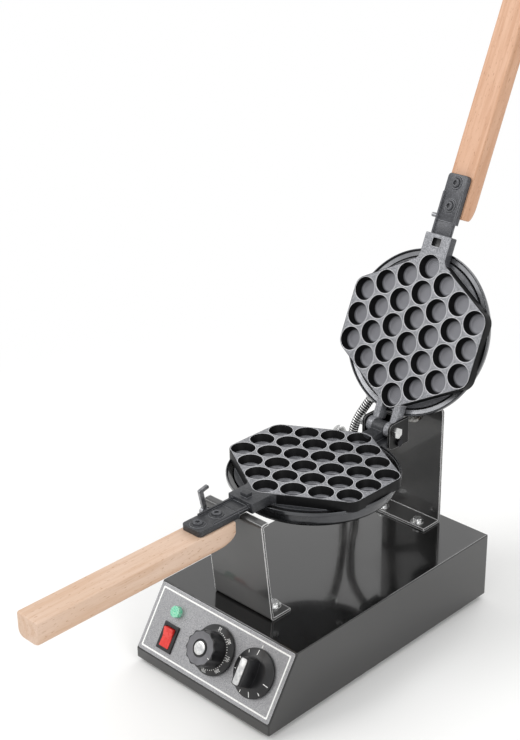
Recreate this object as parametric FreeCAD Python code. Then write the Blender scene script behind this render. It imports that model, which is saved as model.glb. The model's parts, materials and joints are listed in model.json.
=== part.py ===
import FreeCAD, Part
import math
import os
from FreeCAD import Matrix, Placement, Rotation, Vector

# Egg waffle pan on a control box. Millimetres, +Z up, -Y is the front with the controls.
# The sizes below count from the table under the middle of the base. The finished pieces are
# moved along Y, so that the origin lies under the middle of the machine with its handles.

# overall sizes of the base
base_width = 200.0
base_length = 360.0
base_height = 78.0
foot_height = 6.0
lip_height = 11.0
panel_setback = 43.0
base_sheet = 1.5
base_bend_radius = 1.4
flange_width = 12.0

# place of the turning axis and of the pans
axis_above_base = 130.0
pin_y = 106.0
open_angle = 114.0
hinge_to_rim = 17.5

# baking plates
cell_pitch = 29.5
cell_radius = 13.4
cell_floor_radius = 10.6
cell_depth = 11.0
plate_rim_margin = 1.6
plate_thickness = 14.0
plate_edge_depth = 12.0
plate_back_inset = 3.75
face_gap = 0.3

# shells behind the plates
shell_rim_out = 5.25
shell_rim_width = 4.0
shell_rim_thickness = 2.5
shell_wall_taper = 2.0
shell_depth = 32.0
shell_bend_radius = 12.0
shell_sheet = 1.8
shell_boss_radius = 7.0
shell_screw_circle = 44.0
shell_screw_radius = 2.0
shell_screw_count = 3

# heaters and insulation
heater_circle = 56.0
heater_tube_radius = 3.5
heater_gap_angle = 40.0
insulation_radius = 68.0
insulation_thickness = 5.0

# neck, journal and tang of each casting
neck_half_width = 17.5
neck_overlap = 8.25
neck_beyond_plate = 21.75
journal_radius = 15.0
journal_length = 16.0
tang_top = 5.0
tang_half_width = 13.5
tang_length = 69.0
tang_thickness = 7.0
tang_corner = 4.0
tang_rib_width = 2.4
tang_rib_height = 2.0
tang_rib_length = 26.0
lug_from_neck_end = 9.0
lug_length = 8.0
lug_width = 10.0
lug_height = 4.5
lug_clear = 0.8

# wooden handles
handle_from_neck = 22.0
handle_length = 248.0
handle_width = 32.0
handle_depth = 26.0
handle_chamfer = 4.5
handle_round = 10.0
handle_end_round = 2.0
handle_bolt_steps = (11.0, 37.0)
handle_bolt_radius = 3.0
handle_bolt_clear = 0.1
handle_bolt_head_radius = 5.2
handle_bolt_head_height = 5.0
handle_bolt_sink = 2.0
handle_bolt_hex = 2.5
handle_nut_radius = 5.6
handle_nut_height = 5.0
handle_nut_sink = 1.0

# hinge
knuckle_radius = 8.0
knuckle_half_width = 8.0
arm_inner = 8.3
arm_outer = 16.5
hinge_pin_radius = 4.0
pin_clear = 0.06
bolt_head_height = 5.0
hinge_pin_head = 6.5
hinge_nut_height = 6.0
clevis_half_width = 20.0
clevis_sheet = 3.0
clevis_back = 20.0
clevis_reach = 9.5
clevis_up = 10.5
clevis_down = 20.0
clevis_back_up = 6.5
clevis_corner = 6.0
stop_gap = 0.3
foot_lug_top = 9.4
foot_lug_depth = 9.2
foot_lug_clear = 0.25
clevis_bolt_out = -5.0
clevis_bolt_down = 14.0
clevis_bolt_radius = 2.5
clevis_bolt_head = 4.2
clevis_bolt_head_height = 3.5

# swivel in the rear stand
swivel_radius = 7.0
swivel_clear = 0.06
bush_wall = 3.0
bush_flange = 3.0
bush_flange_height = 2.5
bush_front = 9.0
swivel_washer_radius = 13.0
swivel_washer = 2.0
swivel_nut_radius = 11.0
swivel_nut_height = 8.0
swivel_end_gap = 0.4

# stands of folded sheet
stand_sheet = 3.0
stand_bend = 3.4
stand_half_width = 42.0
front_lean = 13.5
front_foot_length = 28.0
front_top_lead = 4.0
front_top_drop = 11.0
front_top_length = 10.0
journal_clear = 0.3
rear_face_y = 162.0
rear_foot_length = 27.0
rear_above_axis = 17.0
rear_corner = 8.0
stand_bolt_x = 26.0
stand_bolt_radius = 3.0
stand_bolt_head = 5.8
stand_bolt_head_height = 4.0
stand_washer_radius = 8.0
stand_washer = 1.2
stand_bolt_length = 16.0
bolt_from_foot_end = 8.5

# control panel; across is along X, up is along the slope
panel_half_width = 98.2
panel_bottom = 2.0
panel_top = 77.8
panel_thickness = 0.8
panel_corner = 2.0
lamp_place = (-63.0, 56.0)
lamp_radius = 6.2
lamp_hole_radius = 4.6
lamp_bezel_height = 1.6
lamp_lens_radius = 5.0
lamp_lens_height = 4.0
lamp_body_length = 24.0
rocker_place = (-63.0, 27.0)
switch_bezel_width = 22.0
switch_bezel_height = 30.0
switch_bezel_lip = 2.0
switch_body_width = 18.6
switch_body_height = 26.6
switch_body_depth = 22.0
switch_frame_wall = 2.2
rocker_width = 13.6
rocker_length = 21.6
rocker_side_clear = 0.35
rocker_pivot_below = 2.0
rocker_swing = 16.0
rocker_rise = 4.6
rocker_axle_radius = 1.5
rocker_axle_clear = 0.05
rocker_well = 12.5
thermostat_place = (2.0, 40.5)
timer_place = (60.5, 40.5)
knob_gap = 1.0
dial_radius = 25.5
dial_height = 6.0
dial_chamfer = 3.2
knob_radius = 18.5
knob_top = 23.0
knob_lobes = 12
knob_lobe_radius = 3.2
knob_lobe_sink = 1.9
knob_cap_radius = 8.0
knob_cap_height = 1.6
knob_cap_round = 0.7
knob_ring_radius = 10.4
knob_ring_depth = 0.8
timer_dial_radius = 26.5
grip_length = 31.0
grip_width = 11.0
grip_top = 24.0
grip_bulge_share = 1.3
insert_length = 28.0
insert_width = 8.0
insert_height = 1.0
spindle_radius = 3.0
spindle_clear = 0.06
spindle_bore_depth = 14.0
control_bush_radius = 5.0
control_bush_height = 2.2
control_hole_clear = 0.1
thermostat_body_size = (44.0, 36.0, 26.0)
timer_body_radius = 25.0
timer_body_depth = 38.0

# parts inside and under the base
foot_radius = 10.0
foot_taper = 1.5
foot_inset = 24.0
cover_clear = 0.4
cover_screw_radius = 1.8
cover_screw_head = 3.6
cover_screw_head_height = 1.8
cover_screw_length = 7.0
cover_screw_inset = 6.0
cover_screw_spacing = 140.0
terminal_length = 60.0
terminal_width = 20.0
terminal_height = 16.0
terminal_y = 60.0
terminal_poles = 5
terminal_hole_radius = 2.6
mains_gland_x = -60.0
mains_gland_z = 30.0
mains_gland_radius = 10.0
mains_gland_out = 12.0
mains_gland_bore = 3.6
mains_hole_radius = 6.0

# conduits, with their glands
conduit_radius = 5.5
conduit_rib_pitch = 3.0
conduit_rib_depth = 0.7
conduit_rib_shares = (0.0, 0.2, 0.6, 0.8)
conduit_arc_share = 0.45
conduit_gland_radius = 8.0
conduit_gland_height = 9.0
conduit_wall = 2.0
shell_gland_depth = 23.5
shell_gland_radius = 7.0
shell_gland_seat = 89.4
upper_gland_angle = 25.0
lower_gland_angle = 30.0
lower_base_gland = (-84.0, 140.0)
upper_base_gland = (-54.0, 126.0)
lower_first_run = 29.5
lower_last_run = 26.0
upper_first_run = 23.0
upper_last_run = 21.0
conduit_joint = (-58.0, 123.4, 159.0)

# latch on the far side of the lower tang
latch_from_handle = 10.0
latch_down = 9.0
latch_stud_radius = 2.5
latch_stud_head = 4.5
latch_stud_head_length = 2.0
latch_clear = 0.06
latch_plate = 3.0
latch_plate_gap = 3.2
latch_side_clear = 0.3
latch_eye_radius = 5.5
latch_arm_width = 5.0
latch_nose = 8.0
latch_nose_height = 4.0
latch_rest_tilt = 12.0
latch_peg_back = 12.0
latch_peg_radius = 2.5
latch_peg_length = 8.0
latch_hook_gap = 0.3

# how far a cutter runs past what it cuts
cut_over = 1.0

# worked out from the sizes above
base_floor = foot_height
base_top = foot_height + base_height
axis_z = base_top + axis_above_base
half_width = base_width / 2
half_length = base_length / 2
lip_top = base_floor + lip_height
slope_rise = base_top - lip_top
slope_angle = math.degrees(math.atan2(slope_rise, panel_setback))
front_top_z = axis_z - front_top_drop
plate_reach = cell_radius + plate_rim_margin
plate_corner = 2.5 * cell_pitch
shell_rim_radius = plate_corner + plate_reach + shell_rim_out
plate_centre_out = shell_rim_radius + hinge_to_rim
plate_back_radius = plate_corner + plate_reach - plate_back_inset
plate_tip_out = plate_centre_out + plate_corner + plate_reach
neck_start_out = plate_tip_out - neck_overlap
neck_end_out = plate_tip_out + neck_beyond_plate
lug_out = neck_end_out - lug_from_neck_end
tang_end_out = neck_end_out + tang_length
handle_start_out = neck_end_out + handle_from_neck
handle_end_out = handle_start_out + handle_length
handle_bolt_outs = [handle_start_out + step for step in handle_bolt_steps]
latch_out = handle_start_out + latch_from_handle
front_top_y = pin_y - neck_end_out - journal_length / 2 - front_top_lead
front_foot_y = front_top_y + front_lean
journal_start_out = neck_end_out
journal_end_out = journal_start_out + journal_length
tang_floor = tang_top + tang_thickness
handle_top = tang_floor
handle_floor = handle_top + handle_depth
open_sin = math.sin(math.radians(open_angle))
open_cos = math.cos(math.radians(open_angle))
stop_depth = clevis_back * open_sin + clevis_back_up * open_cos - stop_gap
shell_rim_depth = plate_edge_depth
neck_depth = plate_edge_depth
plate_root = plate_centre_out - plate_corner
wall_top_radius = shell_rim_radius - shell_rim_width
wall_foot_radius = wall_top_radius - shell_wall_taper
shell_inner_floor = shell_depth - shell_sheet
peg_reach = math.hypot(latch_peg_back, 2 * latch_down)
peg_side = latch_arm_width / 2 + latch_peg_radius + latch_hook_gap
latch_nose_start = math.sqrt(peg_reach**2 - peg_side**2) + latch_peg_radius + latch_hook_gap
latch_arm_length = latch_nose_start + latch_nose_height

front_end_y = pin_y - handle_end_out
back_end_y = pin_y - handle_end_out * open_cos + handle_floor * open_sin
origin_move = Vector(0, -(front_end_y + back_end_y) / 2, 0)

X_AXIS = Vector(1, 0, 0)
Y_AXIS = Vector(0, 1, 0)
Z_AXIS = Vector(0, 0, 1)

parts = {}


def box(low, high):
    """A box between two corners."""
    size = [b - a for a, b in zip(low, high)]
    return Part.makeBox(*size, Vector(*low))


def rod(start, direction, radius, length):
    """A cylinder from a point along a direction."""
    return Part.makeCylinder(radius, length, Vector(*start), Vector(*direction))


def tube(start, direction, outer, inner, length):
    """A cylinder with a bore right through it."""
    return rod(start, direction, outer, length).cut(rod(start, direction, inner, length))


def outline(points):
    """A closed flat face through points."""
    return Part.Face(Part.makePolygon([Vector(*p) for p in points + points[:1]]))


def hex_prism(start, direction, radius, length):
    """A hexagonal prism with its corners at the radius."""
    step = math.pi / 3
    ring = [(radius * math.cos(i * step), radius * math.sin(i * step), 0) for i in range(6)]
    solid = outline(ring).extrude(Vector(0, 0, length))
    solid.Placement = Placement(Vector(*start), Rotation(Z_AXIS, Vector(*direction)))
    return solid


def group(solids):
    """Several separate solids kept as one node."""
    return Part.makeCompound(solids)


def rounded(shape, radius, wanted):
    """The shape with a fillet on each edge that the test picks."""
    edges = [edge for edge in shape.Edges if wanted(edge)]
    return shape.makeFillet(radius, edges)


def runs_along(edge, axis):
    """Whether an edge is straight and parallel to an axis."""
    if len(edge.Vertexes) != 2 or edge.Curve.TypeId != "Part::GeomLine":
        return False
    return abs(edge.Curve.Direction.dot(axis)) > 0.999


def lower_place():
    """From the pan's own frame (across, out from the pin, down from the face) to the lower pan."""
    return Placement(Vector(0, pin_y, axis_z), Rotation(X_AXIS, 180))


def upper_place():
    """The same for the upper pan, opened about the pin."""
    closed = Placement(Vector(), Rotation(Z_AXIS, 180))
    opened = Placement(Vector(), Rotation(X_AXIS, -open_angle))
    return Placement(Vector(0, pin_y, axis_z), Rotation()) * opened * closed


def panel_place():
    """From the panel's own frame (across, up the slope, out of it) to the slanted front."""
    return Placement(Vector(0, -half_length, lip_top), Rotation(X_AXIS, slope_angle))


def placed(shape, place):
    """A copy of the shape moved by a placement."""
    copy = shape.copy()
    copy.Placement = place * copy.Placement
    return copy


# base


def base_profile(inset):
    """The side view of the base, drawn in from its edges by an inset."""
    lean = math.tan(math.radians(90 - slope_angle))
    along = inset / math.sin(math.radians(slope_angle))
    front = -half_length + inset
    lip = lip_top + (front - (-half_length + along)) / lean
    top = base_top - inset
    top_front = -half_length + along + (top - lip_top) * lean
    back = half_length - inset
    return [(front, base_floor), (front, lip), (top_front, top), (back, top), (back, base_floor)]


def base_block(inset):
    """A solid of the base's form, drawn in by an inset."""
    side = half_width - inset
    face = outline([(-side, y, z) for y, z in base_profile(inset)])
    return face.extrude(Vector(2 * side, 0, 0))


def stand_bolt_places():
    """Where the four bolts of the stands go through the base's top."""
    front_y = front_foot_y + front_foot_length - bolt_from_foot_end
    rear_y = rear_face_y - rear_foot_length + bolt_from_foot_end
    return [(side * stand_bolt_x, y) for y in (front_y, rear_y) for side in (-1, 1)]


def panel_holes(reach):
    """Everything that passes through the slanted front, from reach behind it to reach before it."""
    span = 2 * reach
    hole = rod((*lamp_place, -reach), (0, 0, 1), lamp_hole_radius + control_hole_clear, span)
    across = switch_body_width / 2 + control_hole_clear
    up = switch_body_height / 2 + control_hole_clear
    x, v = rocker_place
    hole = hole.fuse(box((x - across, v - up, -reach), (x + across, v + up, reach)))
    for place in (thermostat_place, timer_place):
        bush = control_bush_radius + control_hole_clear
        hole = hole.fuse(rod((*place, -reach), (0, 0, 1), bush, span))
    return hole


def base_housing():
    """Folded sheet: top, sides, back, lip and slanted front in one, open below."""
    outer = base_block(0)
    outer = rounded(outer, base_bend_radius, lambda e: e.BoundBox.ZMax > base_floor + cut_over)
    inner = base_block(base_sheet)
    shell = outer.cut(inner)
    side = half_width - base_sheet
    low = base_floor + base_sheet
    for way in (-1, 1):
        edge, root = way * (side - flange_width), way * side
        ends = half_length - panel_setback
        flange = box(
            (min(edge, root), -ends, low), (max(edge, root), ends, low + base_sheet)
        )
        shell = shell.fuse(flange)
    holes = placed(panel_holes(4 * base_sheet), panel_place())
    shell = shell.cut(holes)
    low = base_top - 2 * base_sheet
    for x, y in stand_bolt_places():
        shell = shell.cut(rod((x, y, low), (0, 0, 1), stand_bolt_radius, 4 * base_sheet))
    for x, y in (lower_base_gland, upper_base_gland):
        bore = conduit_radius - conduit_wall
        shell = shell.cut(rod((x, y, low), (0, 0, 1), bore, 4 * base_sheet))
    back = (mains_gland_x, half_length - 2 * base_sheet, base_floor + mains_gland_z)
    shell = shell.cut(rod(back, (0, 1, 0), mains_hole_radius, 4 * base_sheet))
    for x, y in cover_screw_places():
        shell = shell.cut(rod((x, y, base_floor), (0, 0, 1), cover_screw_radius, 4 * base_sheet))
    return shell.removeSplitter()


def cover_screw_places():
    """Six screws along the two flanges."""
    x = half_width - base_sheet - cover_screw_inset
    return [(way * x, i * cover_screw_spacing) for way in (-1, 1) for i in (-0.5, 0, 0.5)]


def bottom_cover():
    """The plate that closes the base from below."""
    side = half_width - base_sheet - cover_clear
    end = half_length - base_sheet - cover_clear
    plate = box((-side, -end, base_floor), (side, end, base_floor + base_sheet))
    for x, y in cover_screw_places():
        plate = plate.cut(rod((x, y, base_floor), (0, 0, 1), cover_screw_radius, base_sheet))
    return plate


def cover_screws():
    """Pan-head screws that hold the cover to the flanges."""
    screws = []
    for x, y in cover_screw_places():
        head = rod((x, y, base_floor), (0, 0, -1), cover_screw_head, cover_screw_head_height)
        stem = rod((x, y, base_floor), (0, 0, 1), cover_screw_radius, cover_screw_length)
        screws.append(head.fuse(stem))
    return group(screws)


def rubber_feet():
    """Four tapered feet under the corners."""
    feet = []
    for way_x in (-1, 1):
        for way_y in (-1, 1):
            x = way_x * (half_width - foot_inset)
            y = way_y * (half_length - foot_inset)
            foot = Part.makeCone(foot_radius - foot_taper, foot_radius, foot_height, Vector(x, y, 0))
            feet.append(foot)
    return group(feet)


def control_panel():
    """The printed plate on the slanted front."""
    plate = box(
        (-panel_half_width, panel_bottom, 0), (panel_half_width, panel_top, panel_thickness)
    )
    plate = rounded(plate, panel_corner, lambda e: runs_along(e, Z_AXIS))
    return placed(plate.cut(panel_holes(2 * panel_thickness)), panel_place())


def pilot_lamp_body():
    """Bezel and barrel of the pilot lamp."""
    x, v = lamp_place
    bezel = rod((x, v, panel_thickness), (0, 0, 1), lamp_radius, lamp_bezel_height)
    barrel = rod(
        (x, v, panel_thickness - lamp_body_length), (0, 0, 1), lamp_hole_radius, lamp_body_length
    )
    return placed(bezel.fuse(barrel), panel_place())


def pilot_lamp_lens():
    """The lamp's domed lens."""
    x, v = lamp_place
    seat = panel_thickness + lamp_bezel_height
    lens = rod((x, v, seat), (0, 0, 1), lamp_lens_radius, lamp_lens_height)
    lens = rounded(lens, lamp_lens_height / 2, lambda e: e.BoundBox.ZMin > seat + lamp_lens_height / 2)
    return placed(lens, panel_place())


def rocker_pivot():
    """The rocker's axle in the panel's frame."""
    x, v = rocker_place
    return (x, v, panel_thickness + switch_bezel_lip - rocker_pivot_below)


def switch_housing():
    """Bezel and body of the rocker switch, with a well for the rocker."""
    x, v = rocker_place
    half = switch_bezel_width / 2
    tall = switch_bezel_height / 2
    lip = panel_thickness + switch_bezel_lip
    bezel = box((x - half, v - tall, panel_thickness), (x + half, v + tall, lip))
    bezel = rounded(bezel, switch_bezel_lip / 2, lambda e: e.BoundBox.ZMin > lip - base_sheet / 4)
    across = switch_body_width / 2
    up = switch_body_height / 2
    body = box((x - across, v - up, panel_thickness - switch_body_depth), (x + across, v + up, lip / 2))
    solid = bezel.fuse(body)
    well_x = rocker_width / 2 + rocker_side_clear
    well_v = rocker_length / 2 + 2 * rocker_side_clear
    well = box((x - well_x, v - well_v, lip - rocker_well), (x + well_x, v + well_v, lip + cut_over))
    solid = solid.cut(well)
    seat = rocker_axle_radius + rocker_axle_clear
    reach = rocker_width / 2 + switch_frame_wall / 2
    start = (x - reach, v, rocker_pivot()[2])
    solid = solid.cut(rod(start, (1, 0, 0), seat, 2 * reach))
    return placed(solid.removeSplitter(), panel_place())


def power_rocker():
    """The rocker with its axle, tipped so that its top half stands out."""
    half = rocker_width / 2
    end = rocker_length / 2
    low = -rocker_pivot_below
    side = [
        (-half, -end, low),
        (-half, -end, rocker_rise),
        (-half, 0, rocker_rise - rocker_pivot_below),
        (-half, end, rocker_rise),
        (-half, end, low),
        (-half, 0, low - rocker_pivot_below),
    ]
    cap = outline(side).extrude(Vector(rocker_width, 0, 0))
    reach = half + switch_frame_wall / 2 - rocker_side_clear
    axle = rod((-reach, 0, 0), (1, 0, 0), rocker_axle_radius, 2 * reach)
    rocker = cap.fuse(axle)
    tipped = Placement(Vector(*rocker_pivot()), Rotation(X_AXIS, rocker_swing / 2))
    return placed(placed(rocker, tipped), panel_place())


def control_body(place, shape):
    """A control body behind the front with its threaded bush through the panel."""
    bush_bottom = -base_sheet
    length = base_sheet + panel_thickness + control_bush_height - control_hole_clear
    bush = rod((*place, bush_bottom), (0, 0, 1), control_bush_radius, length)
    solid = shape.fuse(bush)
    bore = spindle_radius + spindle_clear
    solid = solid.cut(rod((*place, bush_bottom - base_sheet), (0, 0, 1), bore, length + 2 * base_sheet))
    return placed(solid, panel_place())


def thermostat_body():
    """The thermostat behind the panel."""
    x, v = thermostat_place
    width, height, depth = thermostat_body_size
    low = -base_sheet - depth
    body = box((x - width / 2, v - height / 2, low), (x + width / 2, v + height / 2, -base_sheet))
    return control_body(thermostat_place, body)


def timer_body():
    """The round clockwork timer behind the panel."""
    low = -base_sheet - timer_body_depth
    body = rod((*timer_place, low), (0, 0, 1), timer_body_radius, timer_body_depth)
    return control_body(timer_place, body)


def spindle(place):
    """The spindle that a knob is pushed onto."""
    low = -2 * base_sheet + spindle_clear
    top = panel_thickness + knob_gap + spindle_bore_depth
    return placed(rod((*place, low), (0, 0, 1), spindle_radius, top - low), panel_place())


def knob_underside(place, solid):
    """A knob with its room for the bush and its bore for the spindle."""
    seat = panel_thickness + knob_gap
    room = rod(
        (*place, 0), (0, 0, 1), control_bush_radius + knob_gap, seat + control_bush_height + knob_gap
    )
    bore = rod((*place, 0), (0, 0, 1), spindle_radius, seat + spindle_bore_depth)
    return solid.cut(room).cut(bore)


def dial(place, radius):
    """The round skirt of a knob with a chamfered upper edge."""
    seat = panel_thickness + knob_gap
    disc = rod((*place, seat), (0, 0, 1), radius, dial_height)
    edges = [e for e in disc.Edges if e.BoundBox.ZMin > seat + dial_height / 2]
    return disc.makeChamfer(dial_chamfer, edges)


def thermostat_knob():
    """Skirt with a lobed grip, for the temperature."""
    x, v = thermostat_place
    seat = panel_thickness + knob_gap
    grip_low = seat + dial_height
    grip = rod((x, v, grip_low), (0, 0, 1), knob_radius, knob_top - dial_height)
    ring = knob_radius + knob_lobe_radius - knob_lobe_sink
    for i in range(knob_lobes):
        turn = 2 * math.pi * i / knob_lobes
        spot = (x + ring * math.cos(turn), v + ring * math.sin(turn), grip_low)
        grip = grip.cut(rod(spot, (0, 0, 1), knob_lobe_radius, knob_top))
    top = seat + knob_top
    groove = tube(
        (x, v, top - knob_ring_depth), (0, 0, 1), knob_ring_radius, knob_cap_radius, knob_ring_depth
    )
    solid = dial(thermostat_place, dial_radius).fuse(grip).cut(groove)
    return placed(knob_underside(thermostat_place, solid), panel_place())


def thermostat_knob_cap():
    """The silver cap on the thermostat knob."""
    seat = panel_thickness + knob_gap + knob_top
    cap = rod((*thermostat_place, seat), (0, 0, 1), knob_cap_radius, knob_cap_height)
    cap = rounded(cap, knob_cap_round, lambda e: e.BoundBox.ZMin > seat + knob_cap_height / 2)
    return placed(cap, panel_place())


def timer_knob():
    """Skirt with a bar grip, bulged in the middle and round at its ends, for the time."""
    x, v = timer_place
    seat = panel_thickness + knob_gap
    low = seat + dial_height
    high = seat + grip_top
    end = grip_length / 2
    half = grip_width / 2
    bulge = half * grip_bulge_share
    edges = []
    for side in (-1, 1):
        start = Vector(x + side * half, v - side * end, low)
        middle = Vector(x + side * bulge, v, low)
        stop = Vector(x + side * half, v + side * end, low)
        edges.append(Part.Arc(start, middle, stop).toShape())
        edges.append(Part.makeLine(stop, Vector(x - side * half, v + side * end, low)))
    face = Part.Face(Part.Wire(edges))
    bar = face.extrude(Vector(0, 0, high - low))
    rim = rod((x, v, low), (0, 0, 1), end, high - low)
    bar = bar.common(rim)
    solid = dial(timer_place, timer_dial_radius).fuse(bar)
    return placed(knob_underside(timer_place, solid), panel_place())


def timer_knob_insert():
    """The silver strip on the bar grip."""
    x, v = timer_place
    seat = panel_thickness + knob_gap + grip_top
    strip = box(
        (x - insert_width / 2, v - insert_length / 2, seat),
        (x + insert_width / 2, v + insert_length / 2, seat + insert_height),
    )
    strip = rounded(strip, insert_height, lambda e: runs_along(e, Z_AXIS))
    return placed(strip, panel_place())


def terminal_block():
    """Screw terminals on the bottom cover, where the leads are joined."""
    half = terminal_length / 2
    low = base_floor + base_sheet
    block = box(
        (-half, terminal_y - terminal_width / 2, low),
        (half, terminal_y + terminal_width / 2, low + terminal_height),
    )
    step = terminal_length / terminal_poles
    for i in range(terminal_poles):
        x = -half + (i + 0.5) * step
        for way in (-1, 1):
            y = terminal_y + way * terminal_width / 4
            start = (x, y, low + terminal_height / 2)
            block = block.cut(rod(start, (0, 0, 1), terminal_hole_radius, terminal_height))
    return block


def mains_gland():
    """The gland in the back that a mains lead goes through."""
    start = (mains_gland_x, half_length, base_floor + mains_gland_z)
    return tube(start, (0, 1, 0), mains_gland_radius, mains_gland_bore, mains_gland_out)


# stands


def front_stand():
    """Folded strip that leans forward and carries the necks in a round notch."""
    lean = (front_foot_y - front_top_y) / (front_top_z - base_top)
    slant = math.hypot(1, lean) * stand_sheet
    foot_in = front_foot_y + slant - stand_sheet * lean
    top_in = front_top_y + slant + stand_sheet * lean
    foot_end = front_foot_y + front_foot_length
    top_end = front_top_y + front_top_length
    side = [
        (foot_end, base_top),
        (front_foot_y, base_top),
        (front_top_y, front_top_z),
        (top_end, front_top_z),
        (top_end, front_top_z - stand_sheet),
        (top_in, front_top_z - stand_sheet),
        (foot_in, base_top + stand_sheet),
        (foot_end, base_top + stand_sheet),
    ]
    strip = outline([(-stand_half_width, y, z) for y, z in side])
    strip = strip.extrude(Vector(2 * stand_half_width, 0, 0))
    outer = (Vector(0, front_foot_y, base_top), Vector(0, front_top_y, front_top_z))
    strip = rounded(strip, stand_bend, lambda e: runs_along(e, X_AXIS) and near_line(e, outer))
    notch = rod(
        (0, front_top_y - front_top_length, axis_z),
        (0, 1, 0),
        journal_radius + journal_clear,
        3 * front_top_length,
    )
    strip = strip.cut(notch)
    return strip.cut(stand_bolt_bores())


def near_line(edge, places):
    """Whether an edge along X passes one of the places."""
    middle = edge.BoundBox.Center
    return any(math.hypot(middle.y - p.y, middle.z - p.z) < stand_sheet / 2 for p in places)


def stand_bolt_bores():
    """The holes of all stand bolts, from the base's top upwards."""
    places = [(x, y, base_top) for x, y in stand_bolt_places()]
    return group([rod(place, (0, 0, 1), stand_bolt_radius, 2 * stand_sheet) for place in places])


def rear_stand():
    """Angle of folded sheet that carries the swivel."""
    top = axis_z + rear_above_axis
    back = rear_face_y + stand_sheet
    foot_end = rear_face_y - rear_foot_length
    side = [
        (foot_end, base_top),
        (back, base_top),
        (back, top),
        (rear_face_y, top),
        (rear_face_y, base_top + stand_sheet),
        (foot_end, base_top + stand_sheet),
    ]
    strip = outline([(-stand_half_width, y, z) for y, z in side])
    strip = strip.extrude(Vector(2 * stand_half_width, 0, 0))
    corner = (Vector(0, back, base_top),)
    strip = rounded(strip, stand_bend, lambda e: runs_along(e, X_AXIS) and near_line(e, corner))
    strip = rounded(
        strip, rear_corner, lambda e: runs_along(e, Y_AXIS) and e.BoundBox.ZMin > top - stand_sheet
    )
    hole = rod((0, rear_face_y - cut_over, axis_z), (0, 1, 0), swivel_radius + bush_wall, 2 * stand_sheet)
    return strip.cut(hole).cut(stand_bolt_bores())


def stand_bolts():
    """Four hex bolts with washers that clamp the stands to the base."""
    bolts = []
    for x, y in stand_bolt_places():
        seat = base_top + stand_sheet
        washer = rod((x, y, seat), (0, 0, 1), stand_washer_radius, stand_washer)
        head = hex_prism((x, y, seat + stand_washer), (0, 0, 1), stand_bolt_head, stand_bolt_head_height)
        stem = rod((x, y, seat + stand_washer), (0, 0, -1), stand_bolt_radius, stand_bolt_length)
        nut = hex_prism((x, y, base_top - base_sheet), (0, 0, -1), stand_bolt_head, stand_bolt_head_height)
        bolts.append(head.fuse(washer).fuse(stem).fuse(nut))
    return group(bolts)


def swivel_bush():
    """Flanged bush in the rear stand that the swivel shaft turns in."""
    outer = swivel_radius + bush_wall
    bore = swivel_radius + swivel_clear
    start = (0, rear_face_y - bush_front, axis_z)
    sleeve = rod(start, (0, 1, 0), outer, bush_front + stand_sheet)
    flange = rod(
        (0, rear_face_y - bush_flange_height, axis_z), (0, 1, 0), outer + bush_flange, bush_flange_height
    )
    return sleeve.fuse(flange).cut(rod(start, (0, 1, 0), bore, bush_front + stand_sheet)).removeSplitter()


# pans; in their own frame x is across, y is out from the pin and z is away from the baking face


def cell_places():
    """Centres of the 30 cells: rows of 3 to 6 along the handle, in a regular triangular pattern."""
    row_step = cell_pitch * math.sqrt(3) / 2
    places = []
    for row in range(-3, 4):
        count = 6 - abs(row)
        for i in range(count):
            places.append((row * row_step, plate_centre_out + (i - (count - 1) / 2) * cell_pitch))
    return places


def plate_blank():
    """The six-sided plate, rounded about its corner cells."""
    row_step = cell_pitch * math.sqrt(3) / 2
    corners = [
        (0, plate_centre_out + plate_corner),
        (3 * row_step, plate_centre_out + cell_pitch),
        (3 * row_step, plate_centre_out - cell_pitch),
        (0, plate_centre_out - plate_corner),
        (-3 * row_step, plate_centre_out - cell_pitch),
        (-3 * row_step, plate_centre_out + cell_pitch),
    ]
    core = outline([(x, y, face_gap) for x, y in corners])
    thickness = plate_edge_depth - face_gap
    blank = core.extrude(Vector(0, 0, thickness))
    back = rod((0, plate_centre_out, face_gap), (0, 0, 1), plate_back_radius, plate_thickness - face_gap)
    blank = blank.fuse(back)
    for i, (x, y) in enumerate(corners):
        nx, ny = corners[(i + 1) % len(corners)]
        blank = blank.fuse(rod((x, y, face_gap), (0, 0, 1), plate_reach, thickness))
        length = math.hypot(nx - x, ny - y)
        ox, oy = -(ny - y) / length * plate_reach, (nx - x) / length * plate_reach
        strip = outline(
            [
                (x + ox, y + oy, face_gap),
                (nx + ox, ny + oy, face_gap),
                (nx - ox, ny - oy, face_gap),
                (x - ox, y - oy, face_gap),
            ]
        )
        blank = blank.fuse(strip.extrude(Vector(0, 0, thickness)))
    return blank.removeSplitter()


def cell_cutters():
    """A tapered pocket with a flat floor for each cell."""
    cutters = []
    for x, y in cell_places():
        pocket = Part.makeCone(
            cell_radius, cell_floor_radius, cell_depth, Vector(x, y, face_gap), Z_AXIS
        )
        cutters.append(pocket)
    return group(cutters)


def half_round(radius, start, end, low):
    """The part below a level of a cylinder that lies along the handle."""
    whole = rod((0, start, 0), (0, 1, 0), radius, end - start)
    return whole.common(box((-radius, start, low), (radius, end, radius)))


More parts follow.
